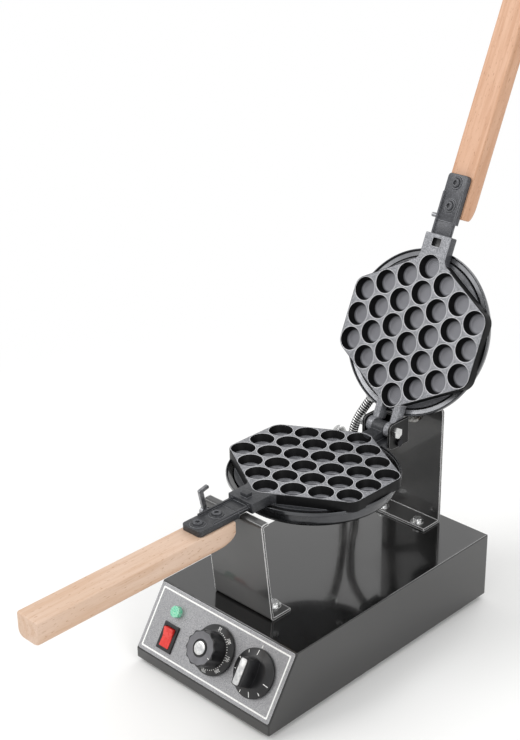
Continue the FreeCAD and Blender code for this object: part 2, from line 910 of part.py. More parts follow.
def neck_and_tang():
    """The neck, the half-round journal and the tang with its two ribs."""
    neck = box((-neck_half_width, neck_start_out, face_gap), (neck_half_width, neck_end_out, neck_depth))
    journal = half_round(journal_radius, journal_start_out, journal_end_out, tang_top)
    tang = box((-tang_half_width, journal_end_out, tang_top), (tang_half_width, tang_end_out, tang_floor))
    tang = rounded(tang, tang_corner, lambda e: runs_along(e, Z_AXIS) and e.BoundBox.YMin > handle_start_out)
    solid = neck.fuse(journal).fuse(tang)
    for way in (-1, 1):
        outer = way * (tang_half_width - tang_rib_width / 4)
        inner = outer - way * tang_rib_width
        rib = box(
            (min(inner, outer), neck_end_out, tang_top - tang_rib_height),
            (max(inner, outer), handle_start_out + tang_rib_length, tang_top),
        )
        solid = solid.fuse(rib)
    for out in handle_bolt_outs:
        bore = handle_bolt_radius + handle_bolt_clear
        seat = handle_bolt_head_radius + handle_bolt_clear
        solid = solid.cut(rod((0, out, tang_top), (0, 0, 1), bore, tang_thickness))
        solid = solid.cut(rod((0, out, tang_top), (0, 0, 1), seat, handle_bolt_sink))
    return solid


def hinge_bore(reach):
    """The bore for the hinge pin, from -reach to reach."""
    return rod((-reach, 0, 0), (1, 0, 0), hinge_pin_radius + pin_clear, 2 * reach)


def lower_plate():
    """Lower casting: plate, neck with lug, and the tongue that the clevis holds."""
    solid = plate_blank().fuse(neck_and_tang())
    knuckle = rod((-knuckle_half_width, 0, 0), (1, 0, 0), knuckle_radius, 2 * knuckle_half_width)
    tongue = box((-knuckle_half_width, 0, face_gap), (knuckle_half_width, plate_root, plate_thickness))
    side = clevis_half_width - clevis_sheet - foot_lug_clear
    foot = box(
        (-side, -clevis_reach, foot_lug_top), (side, plate_root, foot_lug_top + foot_lug_depth)
    )
    lug = box(
        (-lug_width / 2, lug_out - lug_length / 2, face_gap - lug_height),
        (lug_width / 2, lug_out + lug_length / 2, face_gap),
    )
    solid = solid.fuse(tongue).fuse(knuckle).fuse(foot).fuse(lug)
    solid = solid.cut(hinge_bore(knuckle_half_width)).cut(cell_cutters())
    cross = rod((-side, clevis_bolt_out, clevis_bolt_down), (1, 0, 0), clevis_bolt_radius, 2 * side)
    return solid.cut(cross).cut(stud_hole()).removeSplitter()


def stud_hole():
    """The hole in the lower tang's side for the latch stud."""
    depth = tang_half_width / 2
    start = (-tang_half_width, latch_out, latch_down)
    return rod(start, (1, 0, 0), latch_stud_radius, depth)


def upper_plate():
    """Upper casting: plate, neck with pocket, and two hinge arms with stop heels."""
    solid = plate_blank().fuse(neck_and_tang())
    heel_start = knuckle_radius
    heel_end = plate_centre_out - shell_rim_radius - 2 * stop_gap
    for way in (-1, 1):
        low, high = sorted((way * arm_inner, way * arm_outer))
        knuckle = rod((low, 0, 0), (1, 0, 0), knuckle_radius, high - low)
        arm = box((low, 0, face_gap), (high, plate_root, plate_edge_depth))
        heel = box((low, heel_start, face_gap), (high, heel_end, stop_depth))
        solid = solid.fuse(knuckle).fuse(arm).fuse(heel)
    pocket = box(
        (-lug_width / 2 - lug_clear, lug_out - lug_length / 2 - lug_clear, face_gap),
        (lug_width / 2 + lug_clear, lug_out + lug_length / 2 + lug_clear, lug_height + lug_clear),
    )
    solid = solid.cut(hinge_bore(arm_outer)).cut(cell_cutters()).cut(pocket)
    return solid.cut(peg_hole()).removeSplitter()


def peg_hole():
    """The hole in the upper tang's side for the latch peg."""
    depth = tang_half_width / 2
    start = (tang_half_width - depth, latch_out - latch_peg_back, latch_down)
    return rod(start, (1, 0, 0), latch_peg_radius, depth)


def shell_side(offset):
    """Half the shell's side view from its floor's middle to the rim, set in by an offset."""
    floor = shell_depth - offset
    bend = shell_bend_radius - offset
    foot = wall_foot_radius - offset
    top = wall_top_radius - offset
    level = floor - bend
    mid = bend * math.sqrt(0.5)
    return floor, bend, foot, top, level, mid


def shell_body(offset):
    """The solid bowl of the shell, set in by an offset, closed at the rim's level."""
    floor, bend, foot, top, level, mid = shell_side(offset)
    rim = shell_rim_depth
    points = [
        Vector(0, 0, rim),
        Vector(top, 0, rim),
        Vector(foot, 0, level),
        Vector(foot - bend + mid, 0, level + mid),
        Vector(foot - bend, 0, floor),
        Vector(0, 0, floor),
    ]
    edges = [
        Part.makeLine(points[0], points[1]),
        Part.makeLine(points[1], points[2]),
        Part.Arc(points[2], points[3], points[4]).toShape(),
        Part.makeLine(points[4], points[5]),
        Part.makeLine(points[5], points[0]),
    ]
    solid = Part.Face(Part.Wire(edges)).revolve(Vector(), Z_AXIS, 360)
    solid.translate(Vector(0, plate_centre_out, 0))
    return solid


def shell_screw_places():
    """The screws of the shell, evenly round its floor."""
    places = []
    for i in range(shell_screw_count):
        turn = 2 * math.pi * (i + 0.25) / shell_screw_count
        places.append(
            (
                shell_screw_circle * math.cos(turn),
                plate_centre_out + shell_screw_circle * math.sin(turn),
            )
        )
    return places


def gland_line(angle, side):
    """Seat of a gland on the shell's wall and the way it points, on one side of the pan."""
    turn = math.radians(angle)
    direction = Vector(-side * math.sin(turn), -math.cos(turn), 0)
    seat = Vector(0, plate_centre_out, shell_gland_depth) + direction * shell_gland_seat
    return seat, direction


def pan_shell(gland_angle, side):
    """The spun shell with its rolled rim, gland hole and screw holes."""
    bowl = shell_body(0).cut(shell_body(shell_sheet))
    hub = (0, plate_centre_out, shell_rim_depth)
    rim = rod(hub, (0, 0, 1), shell_rim_radius, shell_rim_thickness)
    rim = rounded(rim, shell_rim_thickness / 3, lambda e: e.BoundBox.ZLength < stop_gap)
    opening = rod(hub, (0, 0, 1), wall_top_radius - shell_sheet, shell_rim_thickness)
    bowl = bowl.fuse(rim.cut(opening))
    seat, direction = gland_line(gland_angle, side)
    inward = seat - direction * (2 * shell_gland_radius)
    bowl = bowl.cut(rod(inward, direction, shell_gland_radius, 2 * shell_gland_radius))
    for x, y in shell_screw_places():
        bowl = bowl.cut(rod((x, y, shell_inner_floor), (0, 0, 1), shell_screw_radius, 2 * shell_sheet))
    return bowl.removeSplitter()


def lower_shell():
    """The lower shell, with the slot that the lower casting's foot passes through."""
    half = clevis_half_width - clevis_sheet
    slot = box((-half, 0, 0), (half, plate_root, foot_lug_top + foot_lug_depth + foot_lug_clear))
    return pan_shell(lower_gland_angle, 1).cut(slot)


def pan_heater():
    """An open ring of tubular heater on the plate's back."""
    level = plate_thickness + heater_tube_radius
    sweep = 360 - heater_gap_angle
    ring = Part.makeTorus(heater_circle, heater_tube_radius, Vector(), Z_AXIS, 0, 360, sweep)
    turn = 90 + heater_gap_angle / 2
    ring.Placement = Placement(Vector(0, plate_centre_out, level), Rotation(Z_AXIS, -turn + heater_gap_angle))
    return ring


def pan_insulation():
    """A round board of insulation on the shell's floor."""
    seat = shell_inner_floor - insulation_thickness
    board = rod((0, plate_centre_out, seat), (0, 0, 1), insulation_radius, insulation_thickness)
    for x, y in shell_screw_places():
        board = board.cut(rod((x, y, seat), (0, 0, 1), shell_boss_radius, insulation_thickness))
    return board


def shell_screws():
    """Screws with spacers that hold the shell to the plate's back."""
    screws = []
    for x, y in shell_screw_places():
        head = rod((x, y, shell_depth), (0, 0, 1), 2 * shell_screw_radius, shell_screw_radius)
        length = shell_depth - plate_thickness
        stem = rod((x, y, plate_thickness), (0, 0, 1), shell_screw_radius, length)
        spacer_length = shell_inner_floor - plate_thickness
        spacer = rod((x, y, plate_thickness), (0, 0, 1), 2 * shell_screw_radius, spacer_length)
        screws.append(head.fuse(stem).fuse(spacer))
    return group(screws)


def pan_handle():
    """Turned-down wooden grip with a flat top under the tang."""
    half = handle_width / 2
    length = handle_end_out - handle_start_out
    blank = box((-half, handle_start_out, handle_top), (half, handle_end_out, handle_floor))
    blank = rounded(
        blank,
        handle_round,
        lambda e: runs_along(e, Y_AXIS) and e.BoundBox.ZMin > handle_floor - handle_chamfer,
    )
    edges = [
        e
        for e in blank.Edges
        if runs_along(e, Y_AXIS) and e.BoundBox.ZMax < handle_top + handle_chamfer and e.Length > length / 2
    ]
    blank = blank.makeChamfer(handle_chamfer, edges)
    last = handle_end_out - handle_end_round / 2
    blank = rounded(blank, handle_end_round, lambda e: e.BoundBox.YMin > last)
    for out in handle_bolt_outs:
        bore = handle_bolt_radius + handle_bolt_clear
        blank = blank.cut(rod((0, out, handle_top), (0, 0, 1), bore, handle_depth))
        sink = handle_floor - handle_nut_height - handle_nut_sink
        blank = blank.cut(rod((0, out, sink), (0, 0, 1), handle_nut_radius + handle_bolt_clear, handle_depth))
    return blank


def handle_bolts():
    """Socket-head bolts through tang and grip, each with its nut."""
    bolts = []
    for out in handle_bolt_outs:
        seat = tang_top + handle_bolt_sink
        head = rod((0, out, seat), (0, 0, -1), handle_bolt_head_radius, handle_bolt_head_height)
        socket = hex_prism(
            (0, out, seat - handle_bolt_head_height), (0, 0, 1), handle_bolt_hex, handle_bolt_head_height / 2
        )
        nut_seat = handle_floor - handle_nut_height - handle_nut_sink
        stem = rod((0, out, seat), (0, 0, 1), handle_bolt_radius, nut_seat + handle_nut_height - seat)
        nut = hex_prism((0, out, nut_seat), (0, 0, 1), handle_nut_radius, handle_nut_height)
        bolts.append(head.cut(socket).fuse(stem).fuse(nut))
    return group(bolts)


def pan_gland(gland_angle, side):
    """The gland on the shell's wall that the conduit is screwed into."""
    seat, direction = gland_line(gland_angle, side)
    back = 3 * shell_sheet
    stub = rod(seat - direction * back, direction, shell_gland_radius, back)
    nut = hex_prism(seat, direction, conduit_gland_radius, conduit_gland_height)
    bore = rod(seat - direction * back, direction, conduit_radius - conduit_wall, back + conduit_gland_height)
    return stub.fuse(nut).cut(bore)


def gland_mouth(gland_angle, side, place):
    """Where the conduit meets the gland, and the way it leaves."""
    seat, direction = gland_line(gland_angle, side)
    mouth = seat + direction * conduit_gland_height
    return place.multVec(mouth), place.Rotation.multVec(direction)


# hinge and swivel


def hinge_clevis():
    """The folded bracket that holds the hinge pin and turns with the shaft."""
    half = clevis_half_width
    front = pin_y - clevis_reach
    back = pin_y + clevis_back
    low, high = axis_z - clevis_down, axis_z + clevis_up
    ears = []
    for way in (-1, 1):
        a, b = sorted((way * half, way * (half - clevis_sheet)))
        ear = box((a, front, low), (b, back + clevis_sheet, high))
        ear = rounded(
            ear, clevis_corner, lambda e: runs_along(e, X_AXIS) and e.BoundBox.YMax < front + clevis_sheet
        )
        ears.append(ear)
    web = box((-half, back, low), (half, back + clevis_sheet, axis_z + clevis_back_up))
    solid = ears[0].fuse(ears[1]).fuse(web)
    solid = solid.cut(rod((-half, pin_y, axis_z), (1, 0, 0), hinge_pin_radius + pin_clear, 2 * half))
    cross = (-half, pin_y - clevis_bolt_out, axis_z - clevis_bolt_down)
    return solid.cut(rod(cross, (1, 0, 0), clevis_bolt_radius, 2 * half)).removeSplitter()


def hinge_pin():
    """The hex bolt that the upper pan turns on."""
    head = hex_prism((clevis_half_width, pin_y, axis_z), (1, 0, 0), hinge_pin_head, bolt_head_height)
    length = 2 * clevis_half_width + hinge_nut_height
    stem = rod((clevis_half_width, pin_y, axis_z), (-1, 0, 0), hinge_pin_radius, length)
    return head.fuse(stem)


def hinge_nut():
    """The nut on the hinge bolt's far end."""
    nut = hex_prism((-clevis_half_width, pin_y, axis_z), (-1, 0, 0), hinge_pin_head, hinge_nut_height)
    return nut.cut(rod((-clevis_half_width, pin_y, axis_z), (-1, 0, 0), hinge_pin_radius, hinge_nut_height))


def clevis_bolt():
    """The small bolt that fixes the lower casting's foot in the clevis."""
    y, z = pin_y - clevis_bolt_out, axis_z - clevis_bolt_down
    head = rod((clevis_half_width, y, z), (1, 0, 0), clevis_bolt_head, clevis_bolt_head_height)
    stem = rod((clevis_half_width, y, z), (-1, 0, 0), clevis_bolt_radius, 2 * clevis_half_width)
    nut = hex_prism((-clevis_half_width, y, z), (-1, 0, 0), clevis_bolt_head, clevis_bolt_head_height)
    return head.fuse(stem).fuse(nut)


def swivel_shaft():
    """The shaft welded to the clevis, turning in the rear stand."""
    start = pin_y + clevis_back + clevis_sheet
    end = rear_face_y + stand_sheet + swivel_end_gap + swivel_washer + swivel_nut_height
    return rod((0, start, axis_z), (0, 1, 0), swivel_radius, end - start)


def swivel_nut():
    """Washer and locking nut behind the rear stand."""
    start = rear_face_y + stand_sheet + swivel_end_gap
    washer = rod((0, start, axis_z), (0, 1, 0), swivel_washer_radius, swivel_washer)
    nut = hex_prism((0, start + swivel_washer, axis_z), (0, 1, 0), swivel_nut_radius, swivel_nut_height)
    bore = rod((0, start, axis_z), (0, 1, 0), swivel_radius, swivel_washer + swivel_nut_height)
    return washer.fuse(nut).cut(bore).removeSplitter()


# latch, in the lower pan's frame


def latch_stud():
    """The shouldered stud that the latch lever turns on."""
    start = (-tang_half_width + tang_half_width / 2, latch_out, latch_down)
    shank = latch_plate_gap + latch_plate + latch_side_clear
    stem = rod(start, (-1, 0, 0), latch_stud_radius, tang_half_width / 2 + shank)
    seat = (-tang_half_width - shank, latch_out, latch_down)
    head = rod(seat, (-1, 0, 0), latch_stud_head, latch_stud_head_length)
    spacer = rod(
        (-tang_half_width, latch_out, latch_down),
        (-1, 0, 0),
        latch_stud_head,
        latch_plate_gap - latch_side_clear,
    )
    return stem.fuse(head).fuse(spacer)


def latch_lever():
    """The lever with its eye, arm and hook nose, tilted back towards the handle."""
    inner = -tang_half_width - latch_plate_gap
    half = latch_arm_width / 2
    eye = rod((inner, 0, 0), (-1, 0, 0), latch_eye_radius, latch_plate)
    arm = box((inner - latch_plate, -half, -latch_arm_length), (inner, half, 0))
    nose_low = -latch_arm_length
    nose = box(
        (inner - latch_plate, -half - latch_nose, nose_low), (inner, half, nose_low + latch_nose_height)
    )
    solid = eye.fuse(arm).fuse(nose)
    solid = solid.cut(rod((inner, 0, 0), (-1, 0, 0), latch_stud_radius + latch_clear, latch_plate))
    solid = rounded(
        solid.removeSplitter(),
        latch_nose_height / 3,
        lambda e: runs_along(e, X_AXIS) and e.BoundBox.ZMax < nose_low + stop_gap,
    )
    tilt = Placement(Vector(0, latch_out, latch_down), Rotation(X_AXIS, latch_rest_tilt))
    return placed(solid, tilt)


def latch_peg():
    """The peg on the upper tang that the lever hooks over."""
    depth = tang_half_width / 2
    start = (tang_half_width - depth, latch_out - latch_peg_back, latch_down)
    return rod(start, (1, 0, 0), latch_peg_radius, depth + latch_peg_length)


# conduits


def base_glands():
    """Two glands on the base's top that the conduits go down into."""
    glands = []
    for x, y in (lower_base_gland, upper_base_gland):
        nut = hex_prism((x, y, base_top), (0, 0, 1), conduit_gland_radius, conduit_gland_height)
        bore = rod((x, y, base_top), (0, 0, 1), conduit_radius - conduit_wall, conduit_gland_height)
        glands.append(nut.cut(bore))
    return group(glands)


def conduit_edges(points):
    """Straight runs joined by arcs as large as the runs allow, and the radii of the arcs."""
    knots = [Vector(*p) for p in points]
    edges = []
    radii = []
    last = knots[0]
    for before, corner, after in zip(knots, knots[1:], knots[2:]):
        back = before - corner
        on = after - corner
        reach = conduit_arc_share * min(back.Length, on.Length)
        turn = math.pi - back.getAngle(on)
        radius = reach / math.tan(turn / 2)
        radii.append(radius)
        enter = corner + back.normalize() * reach
        leave = corner + on.normalize() * reach
        bisector = (back + on).normalize()
        to_arc = math.hypot(radius, reach) - radius
        edges.append(Part.makeLine(last, enter))
        edges.append(Part.Arc(enter, corner + bisector * to_arc, leave).toShape())
        last = leave
    edges.append(Part.makeLine(last, knots[-1]))
    return edges, radii


def ring_on(edges, along, radius):
    """A circle square to the path at a distance along it, with its seam kept towards +X."""
    for edge in edges:
        if along <= edge.Length or edge is edges[-1]:
            break
        along -= edge.Length
    spot = edge.getParameterByLength(min(along, edge.Length))
    way = edge.tangentAt(spot)
    seam = (X_AXIS - way * X_AXIS.dot(way)).normalize()
    turn = Rotation(seam, way.cross(seam), way, "ZXY")
    ring = Part.Wire(Part.makeCircle(radius))
    ring.Placement = Placement(edge.valueAt(spot), turn)
    return ring


def conduit_tube(name, points):
    """A ribbed steel conduit with its bore along a route."""
    edges, radii = conduit_edges(points)
    length = sum(edge.Length for edge in edges)
    ribs = round(length / conduit_rib_pitch)
    pitch = length / ribs
    valley = conduit_radius - conduit_rib_depth
    profile = list(zip(conduit_rib_shares, (valley, conduit_radius, conduit_radius, valley)))
    stations = [((i + share) * pitch, radius) for i in range(ribs) for share, radius in profile]
    stations.append((length, valley))
    skin = Part.makeLoft([ring_on(edges, along, radius) for along, radius in stations], True, True)
    bore = conduit_radius - conduit_wall
    inside = Part.Wire(Part.makeCircle(bore, Vector(*points[0]), edges[0].tangentAt(0)))
    hollow = Part.Wire(edges).makePipeShell([inside], True, True)
    solid = skin.cut(hollow)
    expected = -math.pi * bore**2 * length
    for (low, a), (high, b) in zip(stations, stations[1:]):
        expected += math.pi * (high - low) * (a * a + a * b + b * b) / 3
    print(name, "length", round(length, 1), "ribs", ribs, "share", round(solid.Volume / expected, 4))
    print(name, "radii", [round(r, 1) for r in radii])
    return solid


def conduit_routes():
    """The points of each conduit: the ends follow the glands, the rest is chosen by hand."""
    lower_start, lower_way = gland_mouth(lower_gland_angle, 1, lower_place())
    upper_start, upper_way = gland_mouth(upper_gland_angle, -1, upper_place())
    gland_top = base_top + conduit_gland_height
    lower = [
        lower_start,
        lower_start + lower_way * lower_first_run,
        (-76.7, 127.2, 175.7),
        (-84.3, 140.4, 150.0),
        (*lower_base_gland, gland_top + lower_last_run),
        (*lower_base_gland, gland_top),
    ]
    top = [
        upper_start,
        upper_start + upper_way * upper_first_run,
        (-57.6, 123.0, 182.0),
        conduit_joint,
    ]
    foot = [
        conduit_joint,
        (-58.4, 123.8, 136.0),
        (*upper_base_gland, gland_top + upper_last_run),
        (*upper_base_gland, gland_top),
    ]
    return lower, top, foot


def build():
    """Every node of the machine, by name."""
    low, up = lower_place(), upper_place()
    parts["base_housing"] = base_housing()
    parts["bottom_cover"] = bottom_cover()
    parts["cover_screws"] = cover_screws()
    parts["rubber_feet"] = rubber_feet()
    parts["control_panel"] = control_panel()
    parts["pilot_lamp_body"] = pilot_lamp_body()
    parts["pilot_lamp_lens"] = pilot_lamp_lens()
    parts["switch_housing"] = switch_housing()
    parts["power_rocker"] = power_rocker()
    parts["thermostat_body"] = thermostat_body()
    parts["thermostat_spindle"] = spindle(thermostat_place)
    parts["thermostat_knob"] = thermostat_knob()
    parts["thermostat_knob_cap"] = thermostat_knob_cap()
    parts["timer_body"] = timer_body()
    parts["timer_spindle"] = spindle(timer_place)
    parts["timer_knob"] = timer_knob()
    parts["timer_knob_insert"] = timer_knob_insert()
    parts["terminal_block"] = terminal_block()
    parts["mains_gland"] = mains_gland()
    parts["front_stand"] = front_stand()
    parts["rear_stand"] = rear_stand()
    parts["stand_bolts"] = stand_bolts()
    parts["swivel_bush"] = swivel_bush()
    parts["base_glands"] = base_glands()
    parts["lower_plate"] = placed(lower_plate(), low)
    parts["upper_plate"] = placed(upper_plate(), up)
    parts["lower_shell"] = placed(lower_shell(), low)
    parts["upper_shell"] = placed(pan_shell(upper_gland_angle, -1), up)
    for name, place, angle, side in (
        ("lower", low, lower_gland_angle, 1),
        ("upper", up, upper_gland_angle, -1),
    ):
        parts[name + "_heater"] = placed(pan_heater(), place)
        parts[name + "_insulation"] = placed(pan_insulation(), place)
        parts[name + "_shell_screws"] = placed(shell_screws(), place)
        parts[name + "_handle"] = placed(pan_handle(), place)
        parts[name + "_handle_bolts"] = placed(handle_bolts(), place)
        parts[name + "_gland"] = placed(pan_gland(angle, side), place)
    parts["hinge_clevis"] = hinge_clevis()
    parts["hinge_pin"] = hinge_pin()
    parts["hinge_nut"] = hinge_nut()
    parts["clevis_bolt"] = clevis_bolt()
    parts["swivel_shaft"] = swivel_shaft()
    parts["swivel_nut"] = swivel_nut()
    parts["latch_stud"] = placed(latch_stud(), low)
    parts["latch_lever"] = placed(latch_lever(), low)
    parts["latch_peg"] = placed(latch_peg(), up)
    names = ("lower_conduit", "upper_conduit_top", "upper_conduit_foot")
    for name, route in zip(names, conduit_routes()):
        parts[name] = conduit_tube(name, route)


build()
os.makedirs("parts", exist_ok=True)
print("moved along Y by", round(origin_move.y, 3))
for name, shape in parts.items():
    shape.translate(origin_move)
    shape.exportStep("parts/" + name + ".step")
    print(name, "solids", len(shape.Solids), "valid", shape.isValid(), "volume", round(shape.Volume, 1))
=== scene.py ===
import json
import math

import bmesh
import bpy
import numpy as np
from mathutils import Matrix, Vector


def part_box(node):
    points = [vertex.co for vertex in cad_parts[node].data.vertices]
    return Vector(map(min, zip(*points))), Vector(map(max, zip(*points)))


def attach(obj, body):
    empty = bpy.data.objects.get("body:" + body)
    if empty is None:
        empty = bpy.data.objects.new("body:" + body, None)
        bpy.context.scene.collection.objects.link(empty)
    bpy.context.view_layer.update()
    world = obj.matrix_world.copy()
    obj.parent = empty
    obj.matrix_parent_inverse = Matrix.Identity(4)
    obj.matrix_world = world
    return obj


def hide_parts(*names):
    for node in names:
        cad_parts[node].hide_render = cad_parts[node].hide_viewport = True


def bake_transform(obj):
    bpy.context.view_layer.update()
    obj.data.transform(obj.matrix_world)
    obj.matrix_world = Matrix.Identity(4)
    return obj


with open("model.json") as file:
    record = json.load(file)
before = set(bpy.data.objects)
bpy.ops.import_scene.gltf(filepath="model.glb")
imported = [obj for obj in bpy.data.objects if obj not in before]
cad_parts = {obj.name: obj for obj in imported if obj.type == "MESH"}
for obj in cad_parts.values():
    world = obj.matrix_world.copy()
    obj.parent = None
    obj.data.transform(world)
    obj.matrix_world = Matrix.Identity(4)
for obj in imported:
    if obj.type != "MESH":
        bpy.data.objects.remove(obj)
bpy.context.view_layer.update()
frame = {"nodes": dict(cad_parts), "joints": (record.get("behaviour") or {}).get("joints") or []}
nodes = frame["nodes"]
joints = {joint["name"]: joint for joint in frame["joints"]}
mm = 0.001  # the pieces below are drawn in millimetres
print("frame loaded")


# camera, at the photograph's height and angle

cameraView = {
    "place": (0.92318, -0.98920, 0.93584), "yaw": 44.87, "pitch": 24.25, "roll": 0.84,
    "lens": 70.41, "sensor": 36,
}


def addCamera(view):
    # looks along the yaw and pitch, then leans by the roll
    yaw, pitch, roll = (math.radians(view[key]) for key in ("yaw", "pitch", "roll"))
    ahead = Vector((-math.sin(yaw) * math.cos(pitch), math.cos(yaw) * math.cos(pitch), -math.sin(pitch)))
    right = Vector((math.cos(yaw), math.sin(yaw), 0))
    down = ahead.cross(right)
    leaned = math.cos(roll) * right + math.sin(roll) * down
    upright = math.sin(roll) * right - math.cos(roll) * down
    camera = bpy.data.objects.new("camera", bpy.data.cameras.new("camera"))
    camera.data.lens = view["lens"]
    camera.data.sensor_width = view["sensor"]
    turn = Matrix((leaned, upright, -ahead)).transposed()
    camera.matrix_world = Matrix.Translation(view["place"]) @ turn.to_4x4()
    bpy.context.scene.collection.objects.link(camera)
    bpy.context.scene.camera = camera


addCamera(cameraView)
print("camera set")


# places that the pieces are drawn in: an origin and three directions, in millimetres


def placeOf(origin, across, out, away):
    place = np.eye(4)
    place[:3, :3] = np.array([across, out, away], float).T * mm
    place[:3, 3] = origin
    return place


def moved(points, place):
    return points @ place[:3, :3].T + place[:3, 3]


def shifted(place, x, y, z=0.0):
    # the same directions from another origin, given in the place's own millimetres
    there = place.copy()
    there[:3, 3] = moved(np.array([x, y, z]), place)
    return there


pin = np.array(joints["pan_lid"]["pos_m"])
lidOpen = math.radians(joints["pan_lid"]["range_deg"][1])
lidCos, lidSin = math.cos(lidOpen), math.sin(lidOpen)
lowerPan = placeOf(pin, (1, 0, 0), (0, -1, 0), (0, 0, -1))  # across, out from the pin, away from the face
upperPan = placeOf(pin, (-1, 0, 0), (0, -lidCos, lidSin), (0, lidSin, lidCos))

baseLow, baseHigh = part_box("base_housing")
baseMiddle = placeOf((0, (baseLow.y + baseHigh.y) / 2, 0), (1, 0, 0), (0, 1, 0), (0, 0, 1))

panelNormal = -np.array(joints["temperature_turn"]["axis"])
panelUp = np.array([0, panelNormal[2], -panelNormal[1]])
temperaturePlace = placeOf(joints["temperature_turn"]["pos_m"], (1, 0, 0), panelUp, panelNormal)
timerPlace = placeOf(joints["timer_turn"]["pos_m"], (1, 0, 0), panelUp, panelNormal)
# across and up the panel
controls = {"temperature": (2.0, 40.5), "lamp": (-63.0, 56.0), "rocker": (-63.0, 27.0)}
panelPlace = shifted(temperaturePlace, *(-value for value in controls["temperature"]))


# surfaces, all worked out as whole arrays


def evenTurns(sides):
    return np.arange(sides) * 2 * math.pi / sides


def ringPoints(radius, turn):
    return radius * np.stack([np.cos(turn), np.sin(turn)], axis=1)


def gridShell(points, wrapRows=False, capFirst=False, capLast=False, slot=0, marks=None):
    # quads between neighbouring points of a grid whose columns close up; the first and the last row can be
    # closed by a flat face; slot is one material's number or one for each strip of quads, and marks is a
    # number for each point
    rows, columns = points.shape[:2]
    row, column = np.meshgrid(np.arange(rows if wrapRows else rows - 1), np.arange(columns), indexing="ij")
    here, above, onwards = row * columns, (row + 1) % rows * columns, (column + 1) % columns
    quads = np.stack([here + column, here + onwards, above + onwards, above + column], axis=-1).reshape(-1, 4)
    caps = []
    if capFirst:
        caps.append(np.arange(columns)[::-1])
    if capLast:
        caps.append(np.arange(columns) + (rows - 1) * columns)
    strips = np.broadcast_to(slot, row.shape[:1])
    ends = [strips[0]] * capFirst + [strips[-1]] * capLast
    slots = np.concatenate([np.repeat(strips, row.shape[1]), np.array(ends, int)])
    marks = np.zeros(rows * columns) if marks is None else np.broadcast_to(marks, (rows, columns)).ravel()
    return {"points": points.reshape(-1, 3), "quads": quads, "caps": caps, "slots": slots, "marks": marks}


def softLine(corners, closed=False, steps=5):
    # the line through corners (x, y, radius), each corner rounded by an arc that touches both its sides
    pieces = []
    for i, (x, y, radius) in enumerate(corners):
        here = np.array([x, y], float)
        if radius == 0 or (not closed and i in (0, len(corners) - 1)):
            pieces.append(here[None])
            continue
        back = np.array(corners[i - 1][:2]) - here
        on = np.array(corners[(i + 1) % len(corners)][:2]) - here
        back, on = back / np.linalg.norm(back), on / np.linalg.norm(on)
        half = math.acos(max(-1.0, min(1.0, float(back @ on)))) / 2
        middle = (back + on) / np.linalg.norm(back + on)
        centre = here + middle * radius / math.sin(half)
        first = here + back * radius / math.tan(half) - centre
        last = here + on * radius / math.tan(half) - centre
        start = math.atan2(first[1], first[0])
        sweep = (math.atan2(last[1], last[0]) - start + math.pi) % (2 * math.pi) - math.pi
        turn = start + sweep * np.linspace(0, 1, steps + 1)
        pieces.append(centre + ringPoints(radius, turn))
    return np.concatenate(pieces)


def turnedShell(profile, sides=64, centre=(0, 0), wave=None, slot=0):
    # x = r cos t, y = r sin t, z = h for each profile point (r, h); wave(t, r, h) is a factor on r
    turn = evenTurns(sides)
    radius, height = (np.broadcast_to(profile[:, i, None], (len(profile), sides)) for i in (0, 1))
    if wave is not None:
        radius = radius * wave(turn[None], radius, height)
    points = np.stack([centre[0] + radius * np.cos(turn), centre[1] + radius * np.sin(turn), height], axis=-1)
    return gridShell(points, slot=slot)


def outward(outline):
    # unit normals of a closed outline, pointing out of it
    ahead = np.roll(outline, -1, axis=0) - np.roll(outline, 1, axis=0)
    normal = np.stack([ahead[:, 1], -ahead[:, 0]], axis=1)
    normal /= np.linalg.norm(normal, axis=1, keepdims=True)
    area = np.sum(outline[:, 0] * np.roll(outline[:, 1], -1) - outline[:, 1] * np.roll(outline[:, 0], -1))
    return normal * np.sign(area)


def softBlock(outline, low, high, edge, order=(0, 1, 2), slot=0, edgeLow=None, drawn=1.0):
    # the outline carried from low to high and drawn in along a quarter round at each end, by the share drawn
    # at each point; order says which of outline x, outline y and height becomes x, y and z
    edgeLow = edge if edgeLow is None else edgeLow
    turn = np.linspace(0, math.pi / 2, 4)
    inset = np.concatenate([edgeLow * (1 - np.sin(turn)), edge * (1 - np.sin(turn[::-1]))])
    height = np.concatenate([low + edgeLow * (1 - np.cos(turn)), high - edge * (1 - np.cos(turn[::-1]))])
    flat = outline[None] - outward(outline)[None] * inset[:, None, None] * np.reshape(drawn, (1, -1, 1))
    points = np.concatenate([flat, np.broadcast_to(height[:, None, None], flat.shape[:2] + (1,))], axis=2)
    return gridShell(points[:, :, list(order)], capFirst=True, capLast=True, slot=slot)


def boxOutline(x0, y0, x1, y1, radius):
    corners = [(x0, y0, radius), (x1, y0, radius), (x1, y1, radius), (x0, y1, radius)]
    return softLine(corners, closed=True, steps=4)


def hexShell(radius, low, high, chamfer):
    # a hexagon's edge distance limited by a cone near the ends: r = min(hexagon(t), cone(h))
    turn = evenTurns(48)
    flat = radius * math.cos(math.pi / 6)
    hexagon = flat / np.cos((turn % (math.pi / 3)) - math.pi / 6)
    height = np.array([low, low, low + chamfer, high - chamfer, high, high])
    cone = np.array([0, flat * 0.97, radius, radius, flat * 0.97, 0])
    r = np.minimum(hexagon[None], cone[:, None])
    level = np.broadcast_to(height[:, None], r.shape)
    return gridShell(np.stack([r * np.cos(turn), r * np.sin(turn), level], axis=-1))


def setAt(part, x, y, z=0.0):
    return {**part, "points": part["points"] + (x, y, z)}


